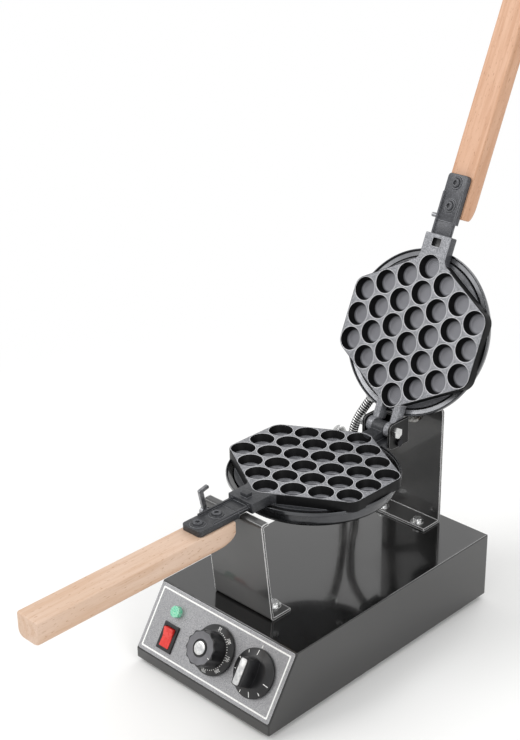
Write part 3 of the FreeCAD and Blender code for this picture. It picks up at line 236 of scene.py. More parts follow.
def makeMesh(name, shells, place, materials):
    # one mesh from shells, with their materials' numbers and their marks
    starts = np.cumsum([0] + [len(part["points"]) for part in shells])
    faces = []
    for part, start in zip(shells, starts):
        faces += (part["quads"] + start).tolist() + [(cap + start).tolist() for cap in part["caps"]]
    mesh = bpy.data.meshes.new(name)
    joined = {key: np.concatenate([part[key] for part in shells]) for key in ("points", "slots", "marks")}
    mesh.from_pydata(moved(joined["points"], place), [], faces)
    mesh.polygons.foreach_set("material_index", joined["slots"].astype(np.int32))
    mark = mesh.attributes.new("mark", "FLOAT", "POINT")
    mark.data.foreach_set("value", joined["marks"].astype(np.float32))
    for material in materials:
        mesh.materials.append(material)
    return mesh


def addPiece(name, shells, place, body, materials, stands=(), crease=35):
    return addMesh(name, makeMesh(name, shells, place, materials), body, stands, crease)


def addMesh(name, mesh, body, stands=(), crease=35):
    # welded, its faces turned outwards, smooth but for the creases
    work = bmesh.new()
    work.from_mesh(mesh)
    bmesh.ops.remove_doubles(work, verts=work.verts, dist=2e-6)
    bmesh.ops.dissolve_degenerate(work, edges=work.edges, dist=1e-6)
    bmesh.ops.recalc_face_normals(work, faces=work.faces)
    work.to_mesh(mesh)
    work.free()
    mesh.polygons.foreach_set("use_smooth", np.ones(len(mesh.polygons), bool))
    mesh.set_sharp_from_angle(angle=math.radians(crease))
    piece = bpy.data.objects.new(name, mesh)
    bpy.context.scene.collection.objects.link(piece)
    if body is not None:
        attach(piece, body)
    if stands:
        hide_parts(*stands)
    return piece


def cutOut(mesh, cutter):
    # the mesh with the cutter's room taken out of it
    holders = [bpy.data.objects.new(part.name, part) for part in (mesh, cutter)]
    for holder in holders:
        bpy.context.scene.collection.objects.link(holder)
    cut = holders[0].modifiers.new("cut", "BOOLEAN")
    cut.operation = "DIFFERENCE"
    cut.object = holders[1]
    cut.solver = "EXACT"
    view = bpy.context.evaluated_depsgraph_get()
    result = bpy.data.meshes.new_from_object(holders[0].evaluated_get(view))
    for holder in holders:
        bpy.data.objects.remove(holder)
    return result


# materials


def colour(text):
    # an sRGB hex value as linear red, green and blue
    channels = np.array([int(text[i : i + 2], 16) for i in (1, 3, 5)]) / 255
    linear = np.where(channels <= 0.04045, channels / 12.92, ((channels + 0.055) / 1.055) ** 2.4)
    return (*linear.tolist(), 1.0)


def addNode(tree, kind, settings=None, inputs=None):
    # one node with its settings, its inputs set to a value or linked to another node's socket
    node = tree.nodes.new(kind)
    for key, value in (settings or {}).items():
        setattr(node, key, value)
    for key, value in (inputs or {}).items():
        if isinstance(value, bpy.types.NodeSocket):
            tree.links.new(value, node.inputs[key])
        else:
            node.inputs[key].default_value = value
    return node


def newMaterial(name, sockets):
    # an empty material with one shader, its sockets set by name
    material = bpy.data.materials.new(name)
    material.use_nodes = True
    tree = material.node_tree
    shader = tree.nodes["Principled BSDF"]
    for key, value in sockets.items():
        shader.inputs[key].default_value = value
    return material, tree, shader


def ramp(tree, source, low, high):
    # low to high stretched over 0 to 1, smooth at both ends
    settings = {"interpolation_type": "SMOOTHSTEP"}
    return addNode(tree, "ShaderNodeMapRange", settings, {0: source, 1: low, 2: high}).outputs[0]


def blended(tree, amount, first, second):
    # two colours mixed by an amount, each a hex value or another node's socket
    first, second = (colour(tone) if isinstance(tone, str) else tone for tone in (first, second))
    return addNode(tree, "ShaderNodeMix", {"data_type": "RGBA"}, {0: amount, 6: first, 7: second}).outputs[2]


def between(tree, amount, low, high):
    # an amount of 0 to 1 turned into a value from low to high
    return addNode(tree, "ShaderNodeMapRange", {}, {0: amount, 3: low, 4: high}).outputs[0]


def noise(tree, where, size, detail=3.0, roughness=0.5, stretch=(1, 1, 1)):
    # noise whose lumps are about size metres across, longer along an axis whose stretch is over 1
    scale = tuple(1 / (size * s) for s in stretch)
    spread = addNode(tree, "ShaderNodeMapping", {}, {"Vector": where, "Scale": scale})
    inputs = {"Vector": spread.outputs[0], "Scale": 1.0, "Detail": detail, "Roughness": roughness}
    return addNode(tree, "ShaderNodeTexNoise", {}, inputs).outputs[0]


def bumped(tree, shader, height, depth, strength, softEdge=None):
    # bump of a depth in metres, on normals rounded over the edges where softEdge is set
    inputs = {"Height": height, "Distance": depth, "Strength": strength}
    if softEdge:
        inputs["Normal"] = addNode(tree, "ShaderNodeBevel", {"samples": 6}, {"Radius": softEdge}).outputs[0]
    tree.links.new(addNode(tree, "ShaderNodeBump", {}, inputs).outputs[0], shader.inputs["Normal"])


# used only to paint a highlight along edges
def highlightEdgeMask(tree, width):
    # 1 where the surface lies within a width of an edge, 0 on the flat
    soft = addNode(tree, "ShaderNodeBevel", {"samples": 6}, {"Radius": width})
    flat = addNode(tree, "ShaderNodeNewGeometry")
    inputs = {0: soft.outputs[0], 1: flat.outputs["Normal"]}
    dot = addNode(tree, "ShaderNodeVectorMath", {"operation": "DOT_PRODUCT"}, inputs)
    return ramp(tree, dot.outputs["Value"], 0.995, 0.93)


def objectPoint(tree):
    return addNode(tree, "ShaderNodeTexCoord").outputs["Object"]


def markOf(tree):
    # the number that each point of a shell carries
    return addNode(tree, "ShaderNodeAttribute", {"attribute_name": "mark"}).outputs["Fac"]


def dressed(tree, shader, tint, rough=None):
    tree.links.new(tint, shader.inputs["Base Color"])
    if rough is not None:
        tree.links.new(rough, shader.inputs["Roughness"])


def surface(name, make, tones, rough=None, sockets=()):
    # what most materials share: two tones mixed by soft clouds, or by the grain where a make has flecks, a
    # third tone painted as a highlight along edges and on a cup's lip, a roughness that follows the clouds,
    # the grain as bump
    material, tree, shader = newMaterial(name, {**make["sockets"], **dict(sockets)})
    where = objectPoint(tree)
    if "grain" in make:
        grain = noise(tree, where, *make["grain"])
        bumped(tree, shader, grain, *make["bump"])
    if "cloud" in make:
        cloud = ramp(tree, noise(tree, where, *make["cloud"]), *make["span"])
    tint = blended(tree, ramp(tree, grain, *make["flecks"]) if "flecks" in make else cloud, *tones[:2])
    # painted highlight: the third tone along the surface's edges
    if "edge" in make:
        tint = blended(tree, highlightEdgeMask(tree, make["edge"]), tint, tones[2])
    # painted highlight: a ring of the third tone on a cup's lip
    if "lip" in make:
        away, (inner, outer) = markOf(tree), make["lip"]
        sides = {0: ramp(tree, away, inner - 0.2, inner), 1: ramp(tree, away, outer + 0.3, outer)}
        ring = addNode(tree, "ShaderNodeMath", {"operation": "MULTIPLY"}, sides).outputs[0]
        tint = blended(tree, ring, tint, tones[2])
    dressed(tree, shader, tint, rough and between(tree, cloud, *rough))
    return material


enamel = {  # folded mild sheet, stoved: orange peel under a clear coat, with a painted highlight along its folds and edges
    "sockets": {"IOR": 1.5, "Coat Weight": 0.85, "Coat Roughness": 0.05},
    "grain": (0.0022, 2.0), "cloud": (0.06, 4.0, 0.62), "span": (0.35, 0.75), "edge": 0.0009,
    "bump": (0.00002, 0.3, 0.0005),
}
etched = {  # aluminium plate, sand-etched and clear anodised: soft even grey with a fine sparkle
    "sockets": {"Metallic": 0.6},
    "grain": (0.0009, 3.0, 0.75),  # the real etch is 0.1 mm, too fine to show
    # edge is the width of a painted highlight along the plate's edges
    "cloud": (0.03, 3.0), "span": (0.3, 0.7), "flecks": (0.36, 0.64), "edge": 0.0007,
    "bump": (0.00005, 0.4, 0.0005),
}
coated = {  # sand-cast aluminium under a baked non-stick coat: satin, a fine pebble, faint paler flecks
    "sockets": {"IOR": 1.45, "Metallic": 0.15},
    "grain": (0.0016, 4.0, 0.75),  # the real pebble is 0.3 mm, drawn coarser to show
    # edge is the width of a painted highlight along the casting's edges
    "cloud": (0.018, 3.0), "span": (0.3, 0.7), "flecks": (0.42, 0.64), "edge": 0.0007,
    "bump": (0.00005, 0.45, 0.0005),
}
# a painted highlight in a ring on a cup's lip, between these distances from its middle
lipHighlighted = {**coated, "lip": (13.5, 14.0)}
spun = {  # aluminium spun over a former, clear coated: glossy, with fine tool marks and wiped, paler clouds
    "sockets": {"Metallic": 0.8, "Coat Weight": 0.7, "Coat Roughness": 0.07},
    "grain": (0.0016, 2.0, 0.5), "cloud": (0.05, 4.0, 0.6), "span": (0.3, 0.7),
    "bump": (0.00002, 0.25, 0.0004),
}
plated = {  # turned or pressed metal with a thin finish: smooth with a faint clouded bloom
    "sockets": {"Metallic": 1.0},
    "grain": (0.0009, 2.0), "cloud": (0.004, 4.0, 0.6), "span": (0.3, 0.75),
    "bump": (0.00002, 0.3, 0.0003),
}
moulded = {  # injection-moulded thermoset or ABS: even colour with the fine grain of an eroded mould
    "sockets": {"IOR": 1.5},
    "grain": (0.0006, 2.0, 0.6), "cloud": (0.012, 3.0), "span": (0.3, 0.7),
    "bump": (0.00002, 0.3, 0.0003),
}
dusty = {  # moulded black rubber: matt with a dusty bloom
    "sockets": {"IOR": 1.5},
    "grain": (0.0008, 2.0), "cloud": (0.004, 4.0, 0.65), "span": (0.4, 0.8),
    "bump": (0.00004, 0.4),
}
tinted = {  # green tinted polycarbonate with a ribbed diffuser: milky, light passes a little way into it
    "sockets": {
        "IOR": 1.58, "Transmission Weight": 0.25, "Subsurface Weight": 0.3, "Subsurface Scale": 0.002,
        "Roughness": 0.16,
    },
    "grain": (0.0012, 1.0), "flecks": (0.3, 0.7), "bump": (0.00004, 0.4, 0.0003),
}
printed = {  # screen-printed enamel ink: flat white, slightly uneven in strength
    "sockets": {"Roughness": 0.45}, "cloud": (0.002, 3.0), "span": (0.2, 0.5),
}


def turnedFloor(name):
    # end-milled cup floor under a thin coat: grey, with rings round the cup's middle left by the cutter
    material, tree, shader = newMaterial(name, {"IOR": 1.45, "Metallic": 0.3})
    away = markOf(tree)
    # the cutter's real marks are too fine to show, so the rings are drawn 1.8 mm apart
    wide = addNode(tree, "ShaderNodeMath", {"operation": "MULTIPLY"}, {0: away, 1: 3.4}).outputs[0]
    wave = addNode(tree, "ShaderNodeMath", {"operation": "SINE"}, {0: wide}).outputs[0]
    speck = noise(tree, objectPoint(tree), 0.0011, 3.0, 0.7)
    inputs = {0: speck, 1: 0.8, 2: between(tree, wave, 0.5, 1.0)}
    mixed = addNode(tree, "ShaderNodeMath", {"operation": "MULTIPLY_ADD"}, inputs).outputs[0]
    tint = blended(tree, ramp(tree, mixed, 0.75, 1.45), "#606165", "#94949a")
    # painted shade: the floor turns near black over its rounded foot, where it meets the wall
    foot = ramp(tree, away, 11.0, 11.7)
    dressed(tree, shader, blended(tree, foot, tint, "#1b1b1d"), between(tree, speck, 0.36, 0.5))
    bumped(tree, shader, mixed, 0.00006, 0.4)
    return material


def woundStrip(name):
    # galvanised strip wound into a hose: bright rounded turns, with painted shade where one turn laps under
    # the next
    material, tree, shader = newMaterial(name, {"Metallic": 0.9})
    crest = markOf(tree)
    cloud = ramp(tree, noise(tree, objectPoint(tree), 0.005, 3.0), 0.3, 0.7)
    bright = blended(tree, cloud, "#c2c2c2", "#e6e6e4")
    # painted shade: the groove between turns fades to near black
    tint = blended(tree, ramp(tree, crest, 0.6, 0.92), "#17171a", bright)
    dressed(tree, shader, tint, between(tree, crest, 0.5, 0.2))
    return material


def planedBeech(name, tilt, tones):
    # planed beech under a thin clear lacquer: pale pink-brown, faint growth bands, short dark ray flecks
    material, tree, shader = newMaterial(name, {"IOR": 1.5, "Coat Weight": 0.12, "Coat Roughness": 0.3})
    turned = addNode(tree, "ShaderNodeMapping", {}, {"Vector": objectPoint(tree), "Rotation": (tilt, 0, 0)})
    where = turned.outputs[0]  # its y runs along the grain
    bands = noise(tree, where, 0.006, 3.0, 0.55, (1, 22, 1.6))
    fibre = noise(tree, where, 0.0009, 3.0, 0.6, (1, 30, 1))
    flecks = ramp(tree, noise(tree, where, 0.0012, 1.0, 0.5, (1, 5, 1.2)), 0.64, 0.76)
    blotch = ramp(tree, noise(tree, where, 0.05, 3.0, 0.5, (1, 2.5, 1)), 0.3, 0.7)
    tint = blended(tree, blotch, tones["pale"], tones["warm"])
    tint = blended(tree, ramp(tree, bands, 0.42, 0.66), tint, tones["band"])
    tint = blended(tree, ramp(tree, fibre, 0.5, 0.85), tint, tones["fibre"])
    tint = blended(tree, flecks, tint, tones["fleck"])
    dressed(tree, shader, tint, between(tree, bands, 0.42, 0.56))
    bumped(tree, shader, fibre, 0.00006, 0.35)
    return material


def pressedFibre(name):
    # mineral fibre board: off-white felt of short crossed fibres
    material, tree, shader = newMaterial(name, {"Roughness": 0.9})
    fibre = noise(tree, objectPoint(tree), 0.0012, 4.0, 0.7, (3, 1, 1))
    dressed(tree, shader, blended(tree, fibre, "#cfc9bb", "#e6e1d6"))
    bumped(tree, shader, fibre, 0.0002, 0.5)
    return material


paleBillet = {"pale": "#d6bba7", "warm": "#cfb199", "band": "#caa98f", "fibre": "#bf9b7e", "fleck": "#b48e72"}
warmBillet = {"pale": "#cfa384", "warm": "#c89a7a", "band": "#c1916f", "fibre": "#b88663", "fleck": "#ab7c5a"}
gloss = "Specular IOR Level"

finish = {
    # painted highlight: the dark grey third tone along the housing's folds and edges
    "sheet": surface(
        "stovedEnamelSheet", enamel, ("#0a0a0a", "#121110", "#2a2928"), (0.12, 0.24), {gloss: 0.4}
    ),
    # painted sheen: grey tones lighten the black enamel where it would mirror the bright room; the near-white
    # third tone is a painted highlight along the edges
    "stand": surface(
        "satinEnamelStandPaintedSheen", {**enamel, "edge": 0.0017}, ("#323232", "#403f3e", "#e6e6e6"), (0.3, 0.42),
        {"Coat Weight": 0.45},
    ),
    # painted highlight: the grey third tone along the clevis's edges
    "clevis": surface(
        "mattEnamelClevis", enamel, ("#070707", "#0d0d0d", "#8a8a8a"), (0.5, 0.62),
        {"Coat Weight": 0.1, gloss: 0.3},
    ),
    # painted highlight: the near-white third tone along the panel's edges
    "panel": surface("etchedAluminiumPlate", etched, ("#7f7f81", "#adadaf", "#dcdcde"), (0.38, 0.5)),
    # painted highlight: the pale third tone on the cups' lips and along the face's edges
    "face": surface("nonStickCoatedFace", lipHighlighted, ("#717276", "#a1a2a6", "#c9c9cc"), (0.37, 0.5)),
    # painted shade: the same coated casting coloured near black on cup walls and plate sides, with a painted
    # highlight along the edges
    "wall": surface(
        "paintedShadeCupWall", coated, ("#050506", "#0e0e10", "#2c2c2e"), (0.45, 0.58), {gloss: 0.25}
    ),
    "floor": turnedFloor("turnedCupFloor"),
    # painted highlight: the third tone along the casting's edges
    "casting": surface("blackCoatedCasting", coated, ("#3a3b3e", "#56575c", "#828387"), (0.33, 0.46)),
    # painted shade: a darker copy of the coated casting for the lower plate, with a painted highlight along
    # the edges
    "shadedLowerCasting": surface("blackCoatedLowerCastingShaded", coated, ("#2b2c2e", "#414246", "#75767a"), (0.35, 0.48)),
    "shell": surface("spunAluminiumShell", spun, ("#333437", "#4b4c4f"), (0.2, 0.32)),
    # painted reflection: a paler copy of the spun shell for the upper shell's inside
    "shellInsidePaintedReflection": surface("paleSpunAluminiumPaintedReflection", spun, ("#77787b", "#9b9c9f"), (0.2, 0.32)),
    "steel": surface("zincPlatedSteel", plated, ("#c4c5c6", "#e4e4e2"), (0.22, 0.36)),
    "dull": surface("phosphatedSteel", plated, ("#77787b", "#a3a3a5"), (0.34, 0.48)),
    "wound": woundStrip("galvanisedStripWinding"),
    "chrome": surface("polishedChromePlate", plated, ("#d6d7d9", "#e4e4e2"), (0.08, 0.22)),
    "black": surface("blackOxideSteel", plated, ("#29292b", "#3c3c3f"), (0.38, 0.52)),
    "bronze": surface("sinteredBronze", plated, ("#4e4336", "#e4e4e2"), (0.35, 0.49)),
    "plastic": surface("blackPhenolicMoulding", moulded, ("#0e0e10", "#161618"), (0.3, 0.38)),
    "satin": surface("satinKnobTop", moulded, ("#5a5a5d", "#6c6c70"), (0.4, 0.48)),
    "red": surface("redMouldedAbs", moulded, ("#d12a24", "#e04038"), (0.22, 0.3)),
    "white": surface("whiteNylonMoulding", moulded, ("#d8d5cc", "#d8d5cc"), (0.5, 0.58)),
    "silver": surface("silverHotStampedInsert", plated, ("#b9babb", "#e4e4e2"), (0.3, 0.44)),
    "lens": surface("greenPolycarbonateLens", tinted, ("#5fd6a8", "#b9f2d8")),
    "rubber": surface("mouldedRubber", dusty, ("#17171a", "#2d2c2b"), (0.7, 0.85)),
    "fibre": pressedFibre("mineralFibreBoard"),
    "ink": surface("screenPrintedInk", printed, ("#d2d2d0", "#f4f4f2")),
    "lowerWood": planedBeech("lacqueredBeech", 0.0, paleBillet),
    "upperWood": planedBeech("lacqueredBeechUpright", -math.pi + lidOpen, warmBillet),
}
print("materials made")


# conduits: flexible steel hose wound from one strip, from each pan's gland down into the base

conduits = {
    "radius": 5.5, "valley": 4.1, "sides": 30, "stepsPerTurn": 12, "crest": 0.55, "averaged": 9,
    "pitch": 3.0,  # the real strip's 1.15 mm would melt into grey, so its turns are drawn wider
}
lowerRoute = [
    (-0.0492, 0.10229, 0.1905), (-0.06395, 0.12789, 0.1905), (-0.0767, 0.14979, 0.1757),
    (-0.0843, 0.16299, 0.15), (-0.084, 0.16259, 0.119), (-0.084, 0.16259, 0.093),
]
upperTopRoute = [
    (-0.04158, 0.15914, 0.22484), (-0.0513, 0.15066, 0.2058),
    (-0.0576, 0.14559, 0.182), (-0.058, 0.14599, 0.159),
]
upperFootRoute = [
    (-0.058, 0.14599, 0.159), (-0.0584, 0.14639, 0.136), (-0.054, 0.14859, 0.114), (-0.054, 0.14859, 0.093),
]


def routeLine(name, route):
    # the smooth line of a conduit: a quadratic spline with the route's points as its control points
    curve = bpy.data.curves.new(name, "CURVE")
    curve.dimensions = "3D"
    curve.resolution_u = 48
    spline = curve.splines.new("NURBS")
    spline.points.add(len(route) - 1)
    for point, place in zip(spline.points, route):
        point.co = (*place, 1)
    spline.order_u = 3
    spline.use_endpoint_u = True
    holder = bpy.data.objects.new(name, curve)
    mesh = bpy.data.meshes.new_from_object(holder)
    line = np.zeros(len(mesh.vertices) * 3)
    mesh.vertices.foreach_get("co", line)
    bpy.data.objects.remove(holder)
    return line.reshape(-1, 3)


def woundTube(line, phase):
    # points C(s) + r (cos t N + sin t B) round the line C, where r swells and dips once for each
    # turn of the strip: r = valley + (radius - valley) |sin(pi (s / pitch + t / 2 pi))| ^ crest
    step = np.linalg.norm(np.diff(line, axis=0), axis=1)
    along = np.concatenate([[0], np.cumsum(step)])
    pitch = conduits["pitch"] * mm
    turns = along[-1] / pitch
    at = np.linspace(0, along[-1], int(turns * conduits["stepsPerTurn"]))
    centre = np.stack([np.interp(at, along, line[:, i]) for i in range(3)], axis=1)
    margin, kernel = conduits["averaged"] // 2, np.ones(conduits["averaged"]) / conduits["averaged"]
    ahead = np.pad(np.gradient(centre, axis=0), ((margin, margin), (0, 0)), mode="edge")
    ahead = np.stack([np.convolve(ahead[:, i], kernel, "valid") for i in range(3)], axis=1)
    ahead /= np.linalg.norm(ahead, axis=1, keepdims=True)
    side = np.array([1.0, 0, 0]) - ahead * ahead[:, :1]
    side /= np.linalg.norm(side, axis=1, keepdims=True)
    upright = np.cross(ahead, side)
    turn = evenTurns(conduits["sides"])
    wave = np.abs(np.sin(math.pi * (at[:, None] / pitch + turn / (2 * math.pi) + phase))) ** conduits["crest"]
    radius = (conduits["valley"] + (conduits["radius"] - conduits["valley"]) * wave) * mm
    ring = np.cos(turn)[None, :, None] * side[:, None] + np.sin(turn)[None, :, None] * upright[:, None]
    points = (centre[:, None] + radius[..., None] * ring) / mm
    return gridShell(points, capFirst=True, capLast=True, marks=wave), turns + phase


def addConduit(name, node, route, phase=0.0):
    # wound along its route, with the strip's phase carried on to the next piece
    line = routeLine(name, route)
    shell, phase = woundTube(line, phase)
    piece = addPiece(name, [shell], np.diag([mm, mm, mm, 1.0]), None, [finish["wound"]], (node,), 60)
    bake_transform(piece)
    return phase


addConduit("lowerConduit", "lower_conduit", lowerRoute)
windingPhase = addConduit(
    "upperConduitTop", "upper_conduit_top", upperTopRoute
)
addConduit(
    "upperConduitFoot", "upper_conduit_foot", upperFootRoute,
    phase=windingPhase,
)
print("conduits wound")


# baking plates: 30 tapered cups on a triangular pattern, with the neck, the tang and the hinge

cup = {"pitch": 29.5, "radius": 13.4, "floor": 10.6, "depth": 11.0, "face": 0.3, "lip": 0.55, "hollow": 3.0}
plate = {"centre": 111.5, "reach": 15.0, "edge": 12.0, "rim": 0.8, "back": 85.0, "backDepth": 14.0}
neck = {
    "half": 17.5, "end": 222.0, "flare": 11.0, "fillet": 9.0, "corner": 1.4,
    "journal": 15.0, "journalEnd": 238.0, "tangTop": 5.0, "tangHalf": 13.5,
}
tang = {
    "end": 291.0, "floor": 12.0, "corner": 4.0, "rib": 2.4, "ribRise": 2.0, "ribEnd": 270.0,
    "boss": [(5.4, 6.0, 0), (5.4, 3.7, 0.3), (7.6, 3.7, 0.8), (8.4, 5.4, 0)],
}
lug = {"out": 213.0, "long": 8.0, "wide": 10.0, "high": 4.5, "room": 0.8}
hinge = {
    "knuckle": 8.0, "armIn": 8.3, "armOut": 16.5, "heel": (8.0, 16.9, 15.3), "foot": (16.75, -9.5, 9.4, 18.6),
    "face": 0.4, "tongue": 14.0, "inner": 40.0,  # drawn to here, then moved to the plate's border
}
gripBolts = (255.0, 281.0)
cos30 = math.cos(math.radians(30))

rowStep = cup["pitch"] * cos30
cupPlaces = np.array(
    [
        (row * rowStep, plate["centre"] + (i - (5 - abs(row)) / 2) * cup["pitch"])
        for row in range(-3, 4)
        for i in range(6 - abs(row))
    ]
)
hexSide = 3 * cos30
hexCorners = np.array([(0, 2.5), (hexSide, 1), (hexSide, -1), (0, -2.5), (-hexSide, -1), (-hexSide, 1)])
hexCorners = hexCorners * cup["pitch"] + (0, plate["centre"])


def borderHeadings(centre):
    # the directions out of the plate, square to those sides of the hexagon that a cup stands on
    headings = []
    for first, second in zip(hexCorners, np.roll(hexCorners, -1, axis=0)):
        side = (second - first) / np.linalg.norm(second - first)
        normal = np.array([-side[1], side[0]])
        if abs((centre - first) @ normal) < 1:
            headings.append(math.atan2(normal[1], normal[0]))
    return headings


def lineReach(away, gap):
    # how far off a straight line is that lies at a gap, seen at an angle away from its square
    facing = np.cos(away)
    return np.where(facing > 0.01, gap / np.maximum(facing, 0.01), np.inf)


def tileReach(centre, turn):
    # how far a cup's own patch of the face reaches in each direction: half way to each neighbour,
    # and at the border of the plate as far as its outline, which is round about the corner cups
    flat = plate["reach"] - plate["rim"]
    reach = np.full(turn.shape, np.inf)
    border = np.zeros(turn.shape, bool)
    others = np.linalg.norm(cupPlaces - centre, axis=1)
    for other in cupPlaces[(others > 1) & (others < 1.1 * cup["pitch"])]:
        reach = np.minimum(reach, lineReach(turn - math.atan2(*(other - centre)[::-1]), cup["pitch"] / 2))
    for heading in borderHeadings(centre):
        limit = lineReach(turn - heading, flat)
        border |= limit < reach + 1e-6
        reach = np.minimum(reach, limit)
    if np.min(np.linalg.norm(hexCorners - centre, axis=1)) < 1:
        heading = math.atan2(*(centre - np.array([0, plate["centre"]]))[::-1])
        away = np.abs((turn - heading + math.pi) % (2 * math.pi) - math.pi)
        atCorner = away < math.radians(30) + 1e-6
        reach = np.where(atCorner, flat, reach)
        border |= atCorner
    return reach, border


def tileTurns(centre):
    # directions every 6 degrees, and those of the patch's own corners on the plate's outline
    spread = math.atan2(cup["pitch"] / 2, plate["reach"] - plate["rim"])
    corners = [heading + way * spread for heading in borderHeadings(centre) for way in (-1, 1)]
    return np.sort(np.concatenate([np.arange(60) * math.radians(6), np.array(corners) % (2 * math.pi)]))


def cupShell(centre):
    # a cup and its patch: floor, rounded foot, leaning wall, rounded lip and flat face out to the patch's
    # edge; the marks are distances from the cup's middle
    side = softLine(
        [
            (0, cup["face"] + cup["depth"], 0),
            (cup["floor"], cup["face"] + cup["depth"], cup["hollow"]),
            (cup["radius"], cup["face"], cup["lip"]),
            (plate["reach"], cup["face"], 0),
        ]
    )[:-1]
    side = np.concatenate([side[:1], side[:1] + (0.5 * cup["floor"], 0), side[1:]])
    turn = tileTurns(centre)
    reach, border = tileReach(centre, turn)
    radius = np.concatenate([np.broadcast_to(side[:, :1], (len(side), len(turn))), reach[None]])
    depth = np.concatenate([side[:, 1], [cup["face"]]])
    points = np.stack(
        [
            centre[0] + radius * np.cos(turn),
            centre[1] + radius * np.sin(turn),
            np.broadcast_to(depth[:, None], radius.shape),
        ],
        axis=-1,
    )
    # slot 3, the near-black wall, is painted shade on the cup's wall
    strips = np.full(len(depth) - 1, 3)  # wall
    strips[:7] = 4  # floor and the round at its foot
    strips[-3:] = 0  # lip and face
    return gridShell(points, slot=strips, marks=radius), points[-1][border]


def rimShell(edgePoints, slot):
    # the border of all patches carried outwards over a rounded edge and down the plate's side
    around = np.arctan2(edgePoints[:, 1] - plate["centre"], edgePoints[:, 0])
    ring = edgePoints[np.argsort(around)][:, :2]
    ring = ring[np.linalg.norm(ring - np.roll(ring, 1, axis=0), axis=1) > 0.01]
    start = hexCorners[:, None]
    way = np.roll(hexCorners, -1, axis=0)[:, None] - start
    share = np.clip(np.sum((ring[None] - start) * way, axis=2) / np.sum(way * way, axis=2), 0, 1)
    nearest = start + share[..., None] * way
    gap = np.linalg.norm(ring[None] - nearest, axis=2)
    foot = nearest[np.argmin(gap, axis=0), np.arange(len(ring))]
    normal = (ring - foot) / np.linalg.norm(ring - foot, axis=1, keepdims=True)
    rim = plate["rim"]
    line = softLine([(0, cup["face"], 0), (rim, cup["face"], rim - 0.01), (rim, plate["edge"], 0)])
    flat = ring[None] + normal[None] * line[:, :1, None]
    level = np.broadcast_to(line[:, 1][:, None, None], flat.shape[:2] + (1,))
    return gridShell(np.concatenate([flat, level], axis=2), capLast=True, slot=slot)


def plateShells():
    cups = [cupShell(centre) for centre in cupPlaces]
    outline = ringPoints(plate["back"], evenTurns(96)) + (0, plate["centre"])
    back = softBlock(outline, plate["edge"] - 0.5, plate["backDepth"], 0.6, slot=1)
    # the plate's side gets slot 3, the near-black wall, as painted shade
    rim = rimShell(np.concatenate([edge for shell, edge in cups]), 3)
    return [shell for shell, edge in cups] + [rim, back]


def neckBlock(slot):
    # the neck's outline: along the plate's border round the end cup, out by a fillet and round the neck's
    # end; it is drawn in only where it isn't joined to the plate
    half, end = neck["half"], neck["end"]
    root = plate["centre"] + 2.5 * cup["pitch"]
    inner, outside = plate["reach"] - plate["rim"] - 0.15, plate["reach"] - 0.1
    tip = half + neck["flare"]

    def border(x, reach):
        return root + (reach - x / 2) / cos30

    flank = [
        (tip, border(tip, outside), 0),
        (half, border(half, outside), neck["fillet"]),
        (half, end, neck["corner"]),
    ]
    outer = softLine(flank + [(-x, y, radius) for x, y, radius in flank[::-1]], steps=8)
    arc = ringPoints(inner, np.radians(np.linspace(120, 60, 21))) + (0, root)
    join = np.concatenate([[(-tip, border(tip, inner))], arc, [(tip, border(tip, inner))]])
    drawn = np.concatenate([np.clip((tip - np.abs(outer[:, 0])) / (tip - half), 0, 1), np.zeros(len(join))])
    outline = np.concatenate([outer, join])
    return softBlock(outline, cup["face"] + 0.02, plate["edge"], 0.9, slot=slot, edgeLow=0.7, drawn=drawn)


def lugOutline(room):
    wide, long = lug["wide"] / 2 + room, lug["long"] / 2 + room
    return boxOutline(-wide, lug["out"] - long, wide, lug["out"] + long, 1.0)


def tangShells():
    # half-round journal, tang with a rib along each side and a boss round each bolt
    end, level, wide = neck["end"], neck["tangTop"], neck["tangHalf"]
    turn = np.linspace(-1, 1, 33) * math.acos(level / neck["journal"])
    bow = ringPoints(neck["journal"], turn)[:, ::-1]
    shells = [softBlock(bow, end - 1, neck["journalEnd"], 0.8, order=(0, 2, 1), slot=1)]
    start, far, corner = neck["journalEnd"] - 2, tang["end"], tang["corner"]
    corners = [(-wide, start, 0), (wide, start, 0), (wide, far, corner), (-wide, far, corner)]
    shells.append(softBlock(softLine(corners, closed=True), level, tang["floor"], 0.7, slot=1))
    for way in (-1, 1):
        middle = way * (wide - tang["rib"] * 0.75)
        bar = boxOutline(middle - tang["rib"] / 2, end - 0.5, middle + tang["rib"] / 2, tang["ribEnd"], 1.1)
        shells.append(softBlock(bar, level - tang["ribRise"], level + 0.5, 0.5, slot=1))
    boss = softLine(tang["boss"], steps=4)
    return shells + [turnedShell(boss, 40, (0, out), slot=1) for out in gripBolts]


def joinedToPlate(part):
    # an arm's inner end, moved to the plate's border: round about the end cup and slanted beside it
    points = part["points"].copy()
    root = plate["centre"] - 2.5 * cup["pitch"]
    reach, x = plate["reach"] - plate["rim"], np.abs(points[:, 0])
    bowed = root - np.sqrt(np.maximum(reach**2 - x**2, 0))
    edge = np.where(x < reach / 2, bowed, root - (reach - x / 2) / cos30)
    points[:, 1] += np.where(points[:, 1] > hinge["inner"] - 2, edge - hinge["inner"], 0)
    return {**part, "points": points}


def armOutline(*rest):
    # an arm from the side: its face, three corners round the pin, and then the rest
    r, face = hinge["knuckle"], hinge["face"]
    bow = [(r, -r, r - 0.01), (-r, -r, r - 0.01), (-r, r, r - 0.01)]
    return softLine([(hinge["inner"], face, 0), (r + 0.6, face, 1.2), *bow, *rest], closed=True, steps=8)


